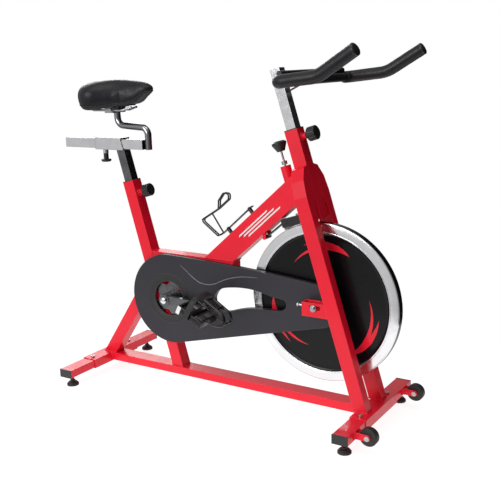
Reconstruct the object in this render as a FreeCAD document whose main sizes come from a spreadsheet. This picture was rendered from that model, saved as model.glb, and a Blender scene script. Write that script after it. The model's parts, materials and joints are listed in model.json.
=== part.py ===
"""Indoor spin bike: welded tube frame, chain-driven flywheel, sliding saddle and handlebar.

Millimetres. +X points forward to the flywheel, +Y to the rider's left, +Z up.
The origin is on the floor, under the middle of the machine.
"""
import FreeCAD, Part
import math
import os

import Sketcher
from FreeCAD import Placement, Rotation, Vector

doc = FreeCAD.newDocument("spin_bike")

# ---------------------------------------------------------------- driving dimensions
DIMENSIONS = {
    # frame tubes
    "tube_side": 40, "tube_wall": 2, "post_side": 30, "post_wall": 2,
    "main_depth": 68, "beam_width": 50, "beam_height": 25, "beam_centre": 48.5,
    "seat_foot_x": -146, "seat_lean": 15.6, "seat_top": 673, "seat_foot": 40,
    "head_foot_x": 515.1, "head_lean": 17, "head_top": 859.5, "head_bottom": 605,
    "main_x": 144.5, "main_z": 547, "main_rise": 40.9,
    "mid_top": 432, "mid_front": 60,
    "strut_x": -380.5, "strut_z": 160.7, "strut_rise": 55.5,
    # fork legs, measured across from the middle plane and up along the fork
    "leg_inside": 37, "leg_outside": 67, "leg_shoulder": 680, "leg_top": 757,
    # stabilizers, sleeves and feet
    "rear_x": -464, "front_x": 508, "stab_width": 45, "stab_height": 25, "stab_length": 434,
    "stab_centre": 46.5, "sleeve_fit": 0.6, "sleeve_wall": 2.2, "sleeve_length": 216,
    "cap_plate": 3, "bolt_offset": 90, "bolt_radius": 4, "bolt_head": 6.5,
    "foot_offset": 190, "foot_radius": 19, "foot_height": 11, "stud_radius": 5, "stud_length": 52,
    # transport wheels
    "roller_x": 568, "roller_y": 166.5, "roller_z": 49.5, "roller_radius": 25, "roller_width": 20,
    # flywheel
    "axle_x": 355, "axle_z": 340.3, "wheel_radius": 230, "rim_inner": 201, "rim_half": 12.8,
    "web_half": 7, "axle_radius": 6, "axle_length": 156, "hub_radius": 21,
    # chain drive
    "chain_pitch": 12.7, "chain_line": -26.5, "ring_teeth": 52, "cog_teeth": 20, "chain_links": 120,
    "roller_seat": 4.4, "tooth_half": 1, "chain_roller": 3.9,
    # cranks and pedals
    "crank_z": 290, "crank_length": 170, "crank_inner": 48, "crank_outer": 64, "spindle_radius": 8.5,
    "shell_radius": 22, "shell_bore": 18, "shell_half": 18, "pedal_centre": 122, "pedal_width": 88,
    "pedal_length": 92, "pedal_height": 24, "pedal_tip": 28,
    # chain guard
    "guard_near": -35, "guard_skirt": -20.3, "guard_wall": 2.5, "guard_rear_radius": 142.5,
    "guard_front_radius": 61.5, "guard_front_z": 335.5, "guard_hole": 55, "guard_dish": 79,
    # brake
    "brake_lean": 17.5, "brake_gap": 1.5, "rod_radius": 3, "pivot_x": 170, "pivot_z": 512,
    # saddle carrier
    "slide_z": 765, "slide_width": 38, "slide_height": 30, "slide_rear": -582, "slide_front": -261,
    "collar_rear": -451, "collar_front": -342, "collar_wall": 3.2, "slide_gap": 0.6,
    "stem_radius": 10.5, "stem_bend": 24,
    # saddle
    "saddle_rear": -485, "saddle_nose": -225, "saddle_width": 196, "tilt_x": -371, "tilt_z": 871,
    # handlebar
    "bar_radius": 12.5, "bar_wall": 2, "bar_half": 209.5, "bar_rear": 330, "bar_z": 957,
    "bar_post_top": 1031, "grip_radius": 16.8, "cross_radius": 7.5, "cross_x": 324,
    "cross_z": 976.5, "cross_half": 179.5,
    # pull pins
    "knob_radius": 20, "knob_length": 28, "seat_pin_drop": 42, "head_pin_drop": 25,
}

sheet = doc.addObject("Spreadsheet::Sheet", "dims")
for row, (alias, number) in enumerate(DIMENSIONS.items(), start=1):
    sheet.set(f"A{row}", alias)
    sheet.set(f"B{row}", str(number))
    sheet.setAlias(f"B{row}", alias)
doc.recompute()


def size(expression):
    """The value of an expression on the sheet, such as 'dims.tube_side / 2'."""
    return float(sheet.evalExpression(expression))


def cell(alias):
    return float(sheet.get(alias))


# ---------------------------------------------------------------- placements
def at(x, y, z, lean=0.0):
    """A place whose local Z leans back (towards -X) by lean degrees."""
    return Placement(Vector(x, y, z), Rotation(Vector(0, 1, 0), -lean))


def moved(place, x, y, z):
    return place.multiply(Placement(Vector(x, y, z), Rotation()))


def sideways(x, y, z):
    """A place whose local Z points to -Y (the bike's right) and local X to +X."""
    return Placement(Vector(x, y, z), Rotation(Vector(1, 0, 0), 90))


SEAT = at(cell("seat_foot_x"), 0, 0, cell("seat_lean"))
HEAD = at(cell("head_foot_x"), 0, 0, cell("head_lean"))
MAIN = at(cell("main_x"), 0, cell("main_z"), cell("main_rise") - 90)
STRUT = at(cell("strut_x"), 0, cell("strut_z"), cell("strut_rise") - 90)

PITCH = cell("chain_pitch")
RING_RADIUS = PITCH / 2 / math.sin(math.pi / cell("ring_teeth"))
COG_RADIUS = PITCH / 2 / math.sin(math.pi / cell("cog_teeth"))
# chain used for each radian of wrap: one pitch for each tooth
RING_ARC = PITCH * cell("ring_teeth") / (2 * math.pi)
COG_ARC = PITCH * cell("cog_teeth") / (2 * math.pi)


def crank_place():
    """The crank's x, set so that the chain has a whole number of links."""
    step = RING_RADIUS - COG_RADIUS
    wanted = cell("chain_links") * PITCH
    span = 500.0
    for _ in range(60):
        extra = math.asin(step / span)
        length = 2 * math.sqrt(span ** 2 - step ** 2)
        length += RING_ARC * (math.pi + 2 * extra) + COG_ARC * (math.pi - 2 * extra)
        span += (wanted - length) / 2
    drop = cell("axle_z") - cell("crank_z")
    return cell("axle_x") - math.sqrt(span ** 2 - drop ** 2)


CRANK_X = crank_place()
CRANK = Vector(CRANK_X, 0, cell("crank_z"))
AXLE = Vector(cell("axle_x"), 0, cell("axle_z"))

# ---------------------------------------------------------------- building blocks
NODES = []


def node(label, thing):
    """Marks an object as a sub-part of its own; its label names its file."""
    thing.Label = label
    NODES.append(thing)
    return thing


def bind(thing, **expressions):
    for name, expression in expressions.items():
        thing.setExpression(name, expression)
    return thing


def block(name, along_x, along_y, along_z, place):
    """A box centred on its place, with each size an expression."""
    box = bind(doc.addObject("Part::Box", name), Length=along_x, Width=along_y, Height=along_z)
    box.Placement = moved(place, -size(along_x) / 2, -size(along_y) / 2, -size(along_z) / 2)
    return box


def rod(name, radius, length, place):
    """A round bar that starts at its place and runs along local Z."""
    bar = bind(doc.addObject("Part::Cylinder", name), Radius=radius, Height=length)
    bar.Placement = place
    return bar


def cut(name, base, *tools):
    result = doc.addObject("Part::Cut", name)
    result.Base = base
    result.Tool = tools[0] if len(tools) == 1 else fuse(name + "_tools", *tools)
    return result


def fuse(name, *shapes):
    result = doc.addObject("Part::MultiFuse", name)
    result.Shapes = list(shapes)
    result.Refine = True
    return result


def group(name, *shapes):
    """Separate solids that share one node."""
    result = doc.addObject("Part::Compound", name)
    result.Links = list(shapes)
    return result


def shaped(name, shape):
    """An object whose shape comes from Part's own functions."""
    thing = doc.addObject("Part::Feature", name)
    thing.Shape = shape
    return thing


def plane(body, role):
    return next(item for item in body.Origin.OriginFeatures if item.Role == role)


def sketch_on(body, name, role):
    sketch = body.newObject("Sketcher::SketchObject", name)
    sketch.AttachmentSupport = [(plane(body, role), "")]
    sketch.MapMode = "FlatFace"
    return sketch


def pin_corner(sketch, line, across, up):
    """Fixes the start of a line at two signed expressions."""
    for kind, expression, axis in (("DistanceX", across, -2), ("DistanceY", up, -1)):
        value = size(expression)
        if abs(value) < 1e-9:
            sketch.addConstraint(Sketcher.Constraint("PointOnObject", line, 1, axis))
            continue
        index = sketch.addConstraint(Sketcher.Constraint(kind, -1, 1, line, 1, value))
        sketch.setExpression(f"Constraints[{index}]", expression)


def outline(sketch, corners):
    """A closed outline of straight edges; every corner is a pair of expressions."""
    first = sketch.GeometryCount
    points = [Vector(size(across), size(up), 0) for across, up in corners]
    count = len(points)
    for index in range(count):
        sketch.addGeometry(Part.LineSegment(points[index], points[(index + 1) % count]))
    for index in range(count):
        after = first + (index + 1) % count
        sketch.addConstraint(Sketcher.Constraint("Coincident", first + index, 2, after, 1))
    for index, (across, up) in enumerate(corners):
        pin_corner(sketch, first + index, across, up)


def rectangle(sketch, across, up):
    half_x, half_y = f"({across}) / 2", f"({up}) / 2"
    signs = ((-1, -1), (1, -1), (1, 1), (-1, 1))
    outline(sketch, [(f"{sx} * {half_x}", f"{sy} * {half_y}") for sx, sy in signs])


def padded(name, role, corners, length, place, both_ways=False):
    """A body padded from a straight-edged outline."""
    body = doc.addObject("PartDesign::Body", name)
    sketch = sketch_on(body, name + "_outline", role)
    outline(sketch, corners)
    pad = body.newObject("PartDesign::Pad", name + "_pad")
    pad.Profile = sketch
    bind(pad, Length=length)
    pad.Midplane = both_ways
    body.Placement = place
    return body


def tube(name, across, deep, wall, length, place):
    """A hollow rectangular tube along local Z; across is its local Y size, deep its local X."""
    body = doc.addObject("PartDesign::Body", name)
    sketch = sketch_on(body, name + "_section", "XY_Plane")
    rectangle(sketch, deep, across)
    rectangle(sketch, f"{deep} - 2 * {wall}", f"{across} - 2 * {wall}")
    pad = body.newObject("PartDesign::Pad", name + "_pad")
    pad.Profile = sketch
    bind(pad, Length=length)
    body.Placement = place
    return body


def turned(name, profile, place):
    """A body turned about local Z from a profile of (radius, height) expressions."""
    body = doc.addObject("PartDesign::Body", name)
    sketch = sketch_on(body, name + "_profile", "XZ_Plane")
    outline(sketch, profile)
    revolution = body.newObject("PartDesign::Revolution", name + "_turn")
    revolution.Profile = sketch
    revolution.ReferenceAxis = (sketch, ["V_Axis"])
    revolution.Angle = 360
    body.Placement = place
    return body


def bent_route(points, radii):
    """Straight runs joined by tangent arcs; radii has one entry for each inner point."""
    edges = []
    here = points[0]
    for corner, after, radius in zip(points[1:-1], points[2:], radii):
        back = (here - corner).normalize()
        ahead = (after - corner).normalize()
        half = back.getAngle(ahead) / 2
        reach = radius / math.tan(half)
        start, end = corner + back * reach, corner + ahead * reach
        middle = corner + (back + ahead).normalize() * (radius / math.sin(half) - radius)
        edges.append(Part.LineSegment(here, start).toShape())
        edges.append(Part.Arc(start, middle, end).toShape())
        here = end
    edges.append(Part.LineSegment(here, points[-1]).toShape())
    return Part.Wire(edges)


def bent_rod(name, points, radii, radius):
    """A round bar swept along a bent route; radius is an expression."""
    spine = shaped(name + "_route", bent_route(points, radii))
    circle = bind(doc.addObject("Part::Circle", name + "_section"), Radius=radius)
    heading = Rotation(Vector(0, 0, 1), points[1] - points[0])
    circle.Placement = Placement(points[0], heading)
    sweep = doc.addObject("Part::Sweep", name)
    sweep.Sections = [circle]
    sweep.Spine = spine
    sweep.Solid = True
    sweep.Frenet = False
    return sweep


def straight_rod(name, start, end, radius):
    """A round bar between two points; radius is an expression."""
    reach = end - start
    return rod(name, radius, f"{reach.Length}", Placement(start, Rotation(Vector(0, 0, 1), reach)))


# ---------------------------------------------------------------- base: beam, sleeves, stabilizers
def along_y(x, z, start):
    """A place at y = start whose local Z points to +Y and local X to +X."""
    return Placement(Vector(x, start, z), Rotation(Vector(1, 0, 0), -90))


def build_base():
    outer_width = "dims.stab_width + dims.sleeve_fit + 2 * dims.sleeve_wall"
    outer_height = "dims.stab_height + dims.sleeve_fit + 2 * dims.sleeve_wall"
    reach = size(outer_width) / 2
    start, end = cell("rear_x") + reach, cell("front_x") - reach
    beam_place = Placement(Vector(start, 0, cell("beam_centre")), Rotation(Vector(0, 1, 0), 90))
    beam_length = f"dims.front_x - dims.rear_x - ({outer_width})"
    node("lower_beam", tube("lower_beam", "dims.beam_width", "dims.beam_height", "dims.tube_wall",
                            beam_length, beam_place))
    sleeves, tubes, bolts, caps = [], [], [], []
    centre, length = cell("stab_centre"), cell("stab_length")
    top = centre + size(outer_height) / 2
    for end_name, x in (("rear", cell("rear_x")), ("front", cell("front_x"))):
        drills, taps = [], []
        for side in (-1, 1):
            spot = at(x, side * cell("bolt_offset"), centre - 6)
            drills.append(rod(f"{end_name}_drill", "dims.bolt_radius + 0.3", "40", spot))
            taps.append(rod(f"{end_name}_tap", "dims.bolt_radius + 0.3", "40", spot))
            foot_hole = at(x, side * cell("foot_offset"), 0)
            taps.append(rod(f"{end_name}_foot_hole", "dims.stud_radius + 0.4", "dims.stab_centre",
                            foot_hole))
            bolts.append(stabilizer_bolt(x, side * cell("bolt_offset"), top))
            caps.append(end_cap(x, side, centre, length / 2))
        sleeve = tube(f"{end_name}_sleeve_tube", outer_height, outer_width, "dims.sleeve_wall",
                      "dims.sleeve_length", along_y(x, centre, -cell("sleeve_length") / 2))
        sleeves.append(cut(f"{end_name}_sleeve", sleeve, *drills))
        bar = tube(f"{end_name}_stabilizer_tube", "dims.stab_height", "dims.stab_width",
                   "dims.tube_wall", "dims.stab_length", along_y(x, centre, -length / 2))
        tubes.append(cut(f"{end_name}_stabilizer", bar, *taps))
    node("cross_sleeves", group("cross_sleeves", *sleeves))
    node("stabilizer_tubes", group("stabilizer_tubes", *tubes))
    node("stabilizer_end_caps", group("stabilizer_end_caps", *caps))
    return bolts


def stabilizer_bolt(x, y, top):
    """A low socket-head bolt from the sleeve's top into the stabilizer tube."""
    profile = [("0", "-14"), ("dims.bolt_radius", "-14"), ("dims.bolt_radius", "0"),
               ("dims.bolt_head", "0"), ("dims.bolt_head", "5"), ("3", "5"), ("3", "2"), ("0", "2")]
    return turned("stabilizer_bolt", profile, at(x, y, top))


def end_cap(x, side, z, tube_end):
    """A plastic plug with a flange as large as the tube."""
    face = block("cap_flange", "dims.stab_width + 1.5", "dims.cap_plate", "dims.stab_height + 1.5",
                 at(x, side * (tube_end + cell("cap_plate") / 2), z))
    plug = block("cap_plug", "dims.stab_width - 2 * dims.tube_wall - 0.2", "14",
                 "dims.stab_height - 2 * dims.tube_wall - 0.2", at(x, side * (tube_end - 7), z))
    return fuse("stabilizer_end_cap", face, plug)


# ---------------------------------------------------------------- welded frame
def envelope(name, place, start, length, deep="dims.tube_side", across="dims.tube_side"):
    """A solid bar as large as a tube, used to cope the tube that meets it."""
    return block(name, deep, across, length, moved(place, 0, 0, size(start) + size(length) / 2))


def below(name, level):
    """Everything under a level, to cut a tube's foot flat."""
    return block(name, "1600", "400", "400", at(0, 0, level - 200))


def build_frame():
    beam_top = size("dims.beam_centre + dims.beam_height / 2")
    sleeve_top = size("dims.stab_centre + (dims.stab_height + dims.sleeve_fit) / 2"
                      " + dims.sleeve_wall")
    seat_length = "dims.seat_top - dims.seat_foot"
    seat = tube("seat_tube_full", "dims.tube_side", "dims.tube_side", "dims.tube_wall",
                seat_length, moved(SEAT, 0, 0, cell("seat_foot")))
    pin_hole = cross_hole("seat_pin_hole", SEAT, pin_height("seat"))
    node("seat_tube", cut("seat_tube", seat, below("seat_foot_level", beam_top), pin_hole))

    seat_bar = envelope("strut_cope", SEAT, "dims.seat_foot", seat_length)
    strut = tube("strut_full", "dims.tube_side", "dims.tube_side", "dims.tube_wall", "420",
                 moved(STRUT, 0, 0, -160))
    front_of_seat = block("strut_end", "200", "100", "900", moved(SEAT, 100, 0, 300))
    node("rear_strut", cut("rear_strut", strut, seat_bar, front_of_seat,
                           below("strut_foot_level", sleeve_top)))

    mid_start = -280
    mid_place = Placement(Vector(mid_start, 0, size("dims.mid_top - dims.tube_side / 2")),
                          Rotation(Vector(0, 1, 0), 90))
    mid = tube("mid_full", "dims.tube_side", "dims.tube_side", "dims.tube_wall",
               f"dims.mid_front - {mid_start}", mid_place)
    behind_seat = block("mid_end", "200", "100", "900", moved(SEAT, -100, 0, 300))
    lid = block("mid_lid", "dims.tube_wall", "dims.tube_side", "dims.tube_side",
                at(cell("mid_front") + 1, 0, size("dims.mid_top - dims.tube_side / 2")))
    mid = fuse("mid_closed", mid, lid)
    node("mid_tube", cut("mid_tube", mid, envelope("mid_cope", SEAT, "dims.seat_foot", seat_length),
                         behind_seat))

    main = tube("main_full", "dims.tube_side", "dims.main_depth", "dims.tube_wall", "460",
                moved(MAIN, 0, 0, -230))
    front_of_head = block("main_end", "200", "100", "900", moved(HEAD, 100, 0, 600))
    head_bar = envelope("main_cope", HEAD, "300", "600")
    rod_bore = rod("main_brake_bore", "dims.rod_radius + 1.5", "400", radial(230))
    node("diagonal_tube", cut("diagonal_tube", main, below("main_foot_level", cell("mid_top")),
                              head_bar, front_of_head, rod_bore))

    head = tube("head_full", "dims.tube_side", "dims.tube_side", "dims.tube_wall",
                "dims.head_top - dims.head_bottom", moved(HEAD, 0, 0, cell("head_bottom")))
    node("head_tube", cut("head_tube", head, cross_hole("head_pin_hole", HEAD, pin_height("head"))))
    for name, side in (("fork_leg_right", -1), ("fork_leg_left", 1)):
        node(name, cut(name, fork_leg(name, side, "0", "dims.tube_side", 30),
                       fork_leg(name + "_bore", side, "dims.tube_wall", "dims.tube_side - 4", 0),
                       below(name + "_level", sleeve_top)))


def pin_height(name):
    """How far up the seat or head tube its pull pin sits."""
    return cell(name + "_top") - cell(name + "_pin_drop")


def cross_hole(name, place, height):
    """A hole through a tube's front wall for its pull pin."""
    spot = moved(place, 0, 0, height).multiply(Placement(Vector(), Rotation(Vector(0, 1, 0), 90)))
    return rod(name, "7.2", "40", spot)


def fork_leg(name, side, inset, depth, foot):
    """One fork leg: straight up, then shouldered in against the head tube's side."""
    corners = [(37, foot), (67, foot), (67, 674), (60, 718), (40, 751), (20, 757), (20, 669), (37, 627)]
    edge = size(inset)
    nudges = [(1, 0), (-1, 0), (-1, -0.2), (-0.9, -0.6), (-0.5, -1), (1, -1), (1, 0.6), (1, 0.3)]
    points = [(f"{side * (y + ny * edge)}", f"{s + ns * edge}")
              for (y, s), (ny, ns) in zip(corners, nudges)]
    return padded(name + "_outline", "YZ_Plane", points, depth, HEAD, both_ways=True)


def radial(distance):
    """A place on the brake's line, out from the flywheel's axle, with local Z pointing outward."""
    return moved(at(AXLE.x, 0, AXLE.z, cell("brake_lean")), 0, 0, distance)


def brake_pivot():
    """Two ears under the diagonal tube with the pin that the brake's arm hangs on."""
    x, z = cell("pivot_x"), cell("pivot_z")
    ears = []
    for y in (-14.5, 14.5):
        ears.append(block("arm_ear_plate", "10", "4", "26", at(x, y, z + 13)))
        ears.append(rod("arm_ear_eye", "6", "4", sideways(x, y + 2, z)))
    pin = rod("arm_pin", "3", "33", sideways(x, 16.5, z))
    return cut("brake_pivot", fuse("brake_pivot_solid", pin, *ears),
               envelope("ear_cope", MAIN, "-300", "600", "dims.main_depth"))


def build_bosses():
    """Short welded sockets: the brake's, and those of the two post pins; and the arm's pivot."""
    brake = cut("brake_boss", rod("brake_boss_full", "15", "47", radial(352)),
                rod("brake_boss_bore", "dims.rod_radius + 0.4", "80", radial(345)),
                envelope("brake_boss_cope", MAIN, "-300", "600", "dims.main_depth"))
    housings = [brake, brake_pivot()]
    for name, place in (("seat", SEAT), ("head", HEAD)):
        spot = pin_spot(place, pin_height(name))
        socket = rod(name + "_pin_socket", "9", "14", spot)
        housings.append(cut(name + "_pin_housing", socket,
                            rod(name + "_pin_bore", "5.4", "20", moved(spot, 0, 0, -3))))
    node("welded_bosses", group("welded_bosses", *housings))


def pin_spot(place, height):
    """On a tube's front face, local Z pointing away from the tube."""
    spot = moved(place, cell("tube_side") / 2, 0, height)
    return spot.multiply(Placement(Vector(), Rotation(Vector(0, 1, 0), 90)))


def build_bushings():
    """Plastic sleeves that close the gap between each tube and the post inside it."""
    bushings = []
    for name, place, top in (("seat", SEAT, "dims.seat_top"), ("head", HEAD, "dims.head_top")):
        side = "dims.tube_side - 2 * dims.tube_wall"
        hole = cross_hole(name + "_bushing_hole", place, pin_height(name))
        sleeve = tube(name + "_bushing_sleeve", side, side, "2.7", "70",
                      moved(place, 0, 0, size(top) - 70))
        lip = tube(name + "_bushing_lip", "dims.tube_side", "dims.tube_side", "4.7", "2.5",
                   moved(place, 0, 0, size(top)))
        bushings.append(cut(name + "_bushing", fuse(name + "_bushing_body", sleeve, lip), hole))
    node("post_bushings", group("post_bushings", *bushings))


# ---------------------------------------------------------------- bottom bracket and cranks
def ring(name, outer, inner, start, length, centre):
    """A plain ring about a crosswise axis, from y = start towards -Y."""
    place = sideways(centre.x, start, centre.z)
    return cut(name, rod(name + "_outer", outer, length, place),
               rod(name + "_inner", inner, length, place))


def build_bottom_bracket():
    half = cell("shell_half")
    shell = ring("shell_ring", "dims.shell_radius", "dims.shell_bore", half, "2 * dims.shell_half",
                 CRANK)
    web = block("shell_web", "60", "30", "30", at(CRANK.x - 30, 0, CRANK.z))
    joined = cut("shell_bridge", web,
                 rod("bridge_cope", "dims.shell_radius - 0.5", "60", sideways(CRANK.x, 30, CRANK.z)),
                 envelope("bridge_seat_cope", SEAT, "dims.seat_foot",
                          "dims.seat_top - dims.seat_foot"),
                 block("bridge_end", "200", "100", "900", moved(SEAT, -100, 0, 300)))
    node("bottom_bracket_shell", fuse("bottom_bracket_shell", shell, joined))
    bearings = [ring(f"crank_bearing_{index}", "dims.shell_bore", "dims.spindle_radius + 0.05",
                     start, "9", CRANK) for index, start in enumerate((half - 1, 10 - half))]
    node("bottom_bracket_bearings", group("bottom_bracket_bearings", *bearings))


def build_cranks():
    reach = "dims.crank_outer - 2"
    spindle = rod("spindle", "dims.spindle_radius", f"2 * ({reach})",
                  sideways(CRANK.x, size(reach), CRANK.z))
    bolts = [rod("crank_bolt_left", "11", "4", sideways(CRANK.x, cell("crank_outer") + 4, CRANK.z)),
             rod("crank_bolt_right", "11", "4", sideways(CRANK.x, -cell("crank_outer"), CRANK.z))]
    node("crank_axle", group("crank_axle", spindle, *bolts))
    arms = []
    for name, side, forward in (("right", -1, 1), ("left", 1, -1)):
        middle = side * (cell("crank_inner") + cell("crank_outer")) / 2
        arms.append(crank_arm(name, middle, forward))
    node("crank_arms", group("crank_arms", *arms))


def crank_arm(name, middle, forward):
    """A tapered forged arm with a boss at each end."""
    thickness = "dims.crank_outer - dims.crank_inner"
    half = size(thickness) / 2
    length = cell("crank_length")
    tip = CRANK.x + forward * length
    hub = rod(f"{name}_crank_hub", "19", thickness, sideways(CRANK.x, middle + half, CRANK.z))
    eye = rod(f"{name}_crank_eye", "13", "12", sideways(tip, middle + 6, CRANK.z))
    corners = [("0", "15"), (f"{forward} * dims.crank_length", "11"),
               (f"{forward} * dims.crank_length", "-11"), ("0", "-15")]
    blade = padded(f"{name}_crank_blade", "XZ_Plane", corners, "12", at(CRANK.x, middle, CRANK.z),
                   both_ways=True)
    bore = rod(f"{name}_crank_bore", "dims.spindle_radius", "60",
               sideways(CRANK.x, middle + 30, CRANK.z))
    pedal_hole = rod(f"{name}_pedal_hole", "7.1", "60", sideways(tip, middle + 30, CRANK.z))
    return cut(f"{name}_crank_arm", fuse(f"{name}_crank_solid", hub, eye, blade), bore, pedal_hole)


# ---------------------------------------------------------------- chain, chainring and sprocket
def toothed_outline(teeth, turn):
    """A sprocket's outline about the origin: round seats for the rollers, pointed teeth."""
    pitch_radius = PITCH / 2 / math.sin(math.pi / teeth)
    seat, step = cell("roller_seat"), 2 * math.pi / teeth
    tip_radius = pitch_radius + 0.27 * PITCH

    def polar(radius, angle):
        return Vector(radius * math.cos(angle), 0, radius * math.sin(angle))

    edges, ends = [], []
    for index in range(teeth):
        angle = turn + index * step
        centre = polar(pitch_radius, angle)
        outward = polar(1, angle)
        across = polar(1, angle + math.pi / 2)
        wide = outward * (seat * 0.1) + across * (seat * math.sqrt(1 - 0.1 ** 2))
        other = outward * (seat * 0.1) - across * (seat * math.sqrt(1 - 0.1 ** 2))
        edges.append(Part.Arc(centre + other, centre - outward * seat, centre + wide).toShape())
        ends.append((centre + other, centre + wide, angle))
    for index in range(teeth):
        leaving, angle = ends[index][1], ends[index][2]
        arriving = ends[(index + 1) % teeth][0]
        crest = angle + step / 2
        left, right = polar(tip_radius, crest - 0.05 * step), polar(tip_radius, crest + 0.05 * step)
        edges.append(Part.LineSegment(leaving, left).toShape())
        edges.append(Part.LineSegment(left, right).toShape())
        edges.append(Part.LineSegment(right, arriving).toShape())
    return Part.Wire(Part.__sortEdges__(edges))


def toothed_plate(name, teeth, turn, centre):
    half = cell("tooth_half")
    face = Part.Face(toothed_outline(teeth, turn))
    face.translate(Vector(centre.x, cell("chain_line") - half, centre.z))
    return shaped(name, face.extrude(Vector(0, 2 * half, 0)))


def chain_route():
    """Centres of the chain's pins, in order, starting where the chain leaves the ring's top."""
    span = AXLE - CRANK
    slope = math.atan2(span.z, span.x)
    lean = math.asin((RING_RADIUS - COG_RADIUS) / math.hypot(span.x, span.z))
    top, bottom = slope + math.pi / 2 - lean, slope - math.pi / 2 + lean

    def rim(centre, radius, angle):
        return centre + Vector(radius * math.cos(angle), 0, radius * math.sin(angle))

    straight = (rim(AXLE, COG_RADIUS, top) - rim(CRANK, RING_RADIUS, top)).Length
    legs = [("line", straight), ("cog", COG_ARC * (top - bottom)), ("line_back", straight),
            ("ring", RING_ARC * (2 * math.pi - top + bottom))]
    total = sum(length for _, length in legs)
    count = int(cell("chain_links"))
    points = []
    for index in range(count):
        along = total * index / count
        for kind, length in legs:
            if along <= length:
                break
            along -= length
        if kind == "line":
            start, end = rim(CRANK, RING_RADIUS, top), rim(AXLE, COG_RADIUS, top)
            points.append(start + (end - start) * (along / length))
        elif kind == "cog":
            points.append(rim(AXLE, COG_RADIUS, top - along / COG_ARC))
        elif kind == "line_back":
            start, end = rim(AXLE, COG_RADIUS, bottom), rim(CRANK, RING_RADIUS, bottom)
            points.append(start + (end - start) * (along / length))
        else:
            points.append(rim(CRANK, RING_RADIUS, bottom - along / RING_ARC))
    cog_turn = top - (math.ceil(straight / PITCH) * PITCH - straight) / COG_ARC
    return points, top, cog_turn


def chain_link(start, end, outer):
    """One link: two side plates, with rollers on an inner link and pins on an outer one."""
    line = cell("chain_line")
    heading = end - start
    turn = Rotation(Vector(1, 0, 0), heading)
    near, thick = (3.0, 1.1) if outer else (1.75, 1.1)
    solids = []
    for low in (near, -near - thick):
        plate = Part.makeBox(heading.Length, thick, 6.4, Vector(0, low, -3.2))
        for x in (0, heading.Length):
            plate = plate.fuse(Part.makeCylinder(4.0, thick, Vector(x, low, 0), Vector(0, 1, 0)))
        solids.append(plate)
    for x in (0, heading.Length):
        if outer:
            reach, radius = near + thick + 0.4, 1.8
        else:
            reach, radius = near, cell("chain_roller")
        solids.append(Part.makeCylinder(radius, 2 * reach, Vector(x, -reach, 0), Vector(0, 1, 0)))
    link = solids[0].multiFuse(solids[1:]).removeSplitter()
    if not outer:
        for x in (0, heading.Length):
            link = link.cut(Part.makeCylinder(2.0, 20, Vector(x, -10, 0), Vector(0, 1, 0)))
    link.Placement = Placement(Vector(start.x, line, start.z), turn)
    return link


def build_drive():
    points, ring_turn, cog_turn = chain_route()
    count = len(points)
    links = [chain_link(points[index], points[(index + 1) % count], index % 2 == 1)
             for index in range(count)]
    node("drive_chain", shaped("drive_chain", Part.makeCompound(links)))

    plate = toothed_plate("ring_plate", int(cell("ring_teeth")), ring_turn, CRANK)
    windows = []
    for index in range(5):
        angle = math.radians(72 * index + 36)
        spot = CRANK + Vector(62 * math.cos(angle), 0, 62 * math.sin(angle))
        windows.append(rod("ring_window", "19", "20", sideways(spot.x, -15, spot.z)))
    carrier = rod("ring_carrier", "40", "4", sideways(CRANK.x, cell("chain_line") + 0.5, CRANK.z))
    neck = rod("ring_neck", "19", "20.9", sideways(CRANK.x, -27, CRANK.z))
    bore = rod("ring_bore", "dims.spindle_radius", "60", sideways(CRANK.x, 0, CRANK.z))
    node("chainring", cut("chainring", fuse("ring_solid", plate, carrier, neck), bore, *windows))

    cog = toothed_plate("cog_plate", int(cell("cog_teeth")), cog_turn, AXLE)
    node("sprocket", cut("sprocket", cog, rod("cog_bore", "16.05", "20",
                                              sideways(AXLE.x, -18, AXLE.z))))


# ---------------------------------------------------------------- flywheel
def build_flywheel():
    half, web = "dims.rim_half", "dims.web_half"
    profile = [("dims.hub_radius", f"-{web}"), ("dims.rim_inner", f"-{web}"),
               ("dims.rim_inner", f"-{half}"), ("dims.wheel_radius - 1.5", f"-{half}"),
               ("dims.wheel_radius", f"1.5 - {half}"), ("dims.wheel_radius", f"{half} - 1.5"),
               ("dims.wheel_radius - 1.5", half), ("dims.rim_inner", half),
               ("dims.rim_inner", web), ("dims.hub_radius", web)]
    node("flywheel", turned("flywheel", profile, sideways(AXLE.x, 0, AXLE.z)))
    hub_profile = [("14", "-30"), ("dims.hub_radius", "-30"), ("dims.hub_radius", "24"),
                   ("16", "24"), ("16", "30.5"), ("14", "30.5")]
    hub = turned("flywheel_hub_shell", hub_profile, sideways(AXLE.x, 0, AXLE.z))
    bearings = [ring(f"hub_bearing_{index}", "14", "dims.axle_radius + 0.05", start, "8", AXLE)
                for index, start in enumerate((29, -21.5))]
    node("flywheel_hub", group("flywheel_hub", hub, *bearings))
    node("flywheel_axle", rod("flywheel_axle", "dims.axle_radius", "dims.axle_length",
                              sideways(AXLE.x, cell("axle_length") / 2, AXLE.z)))


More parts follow.
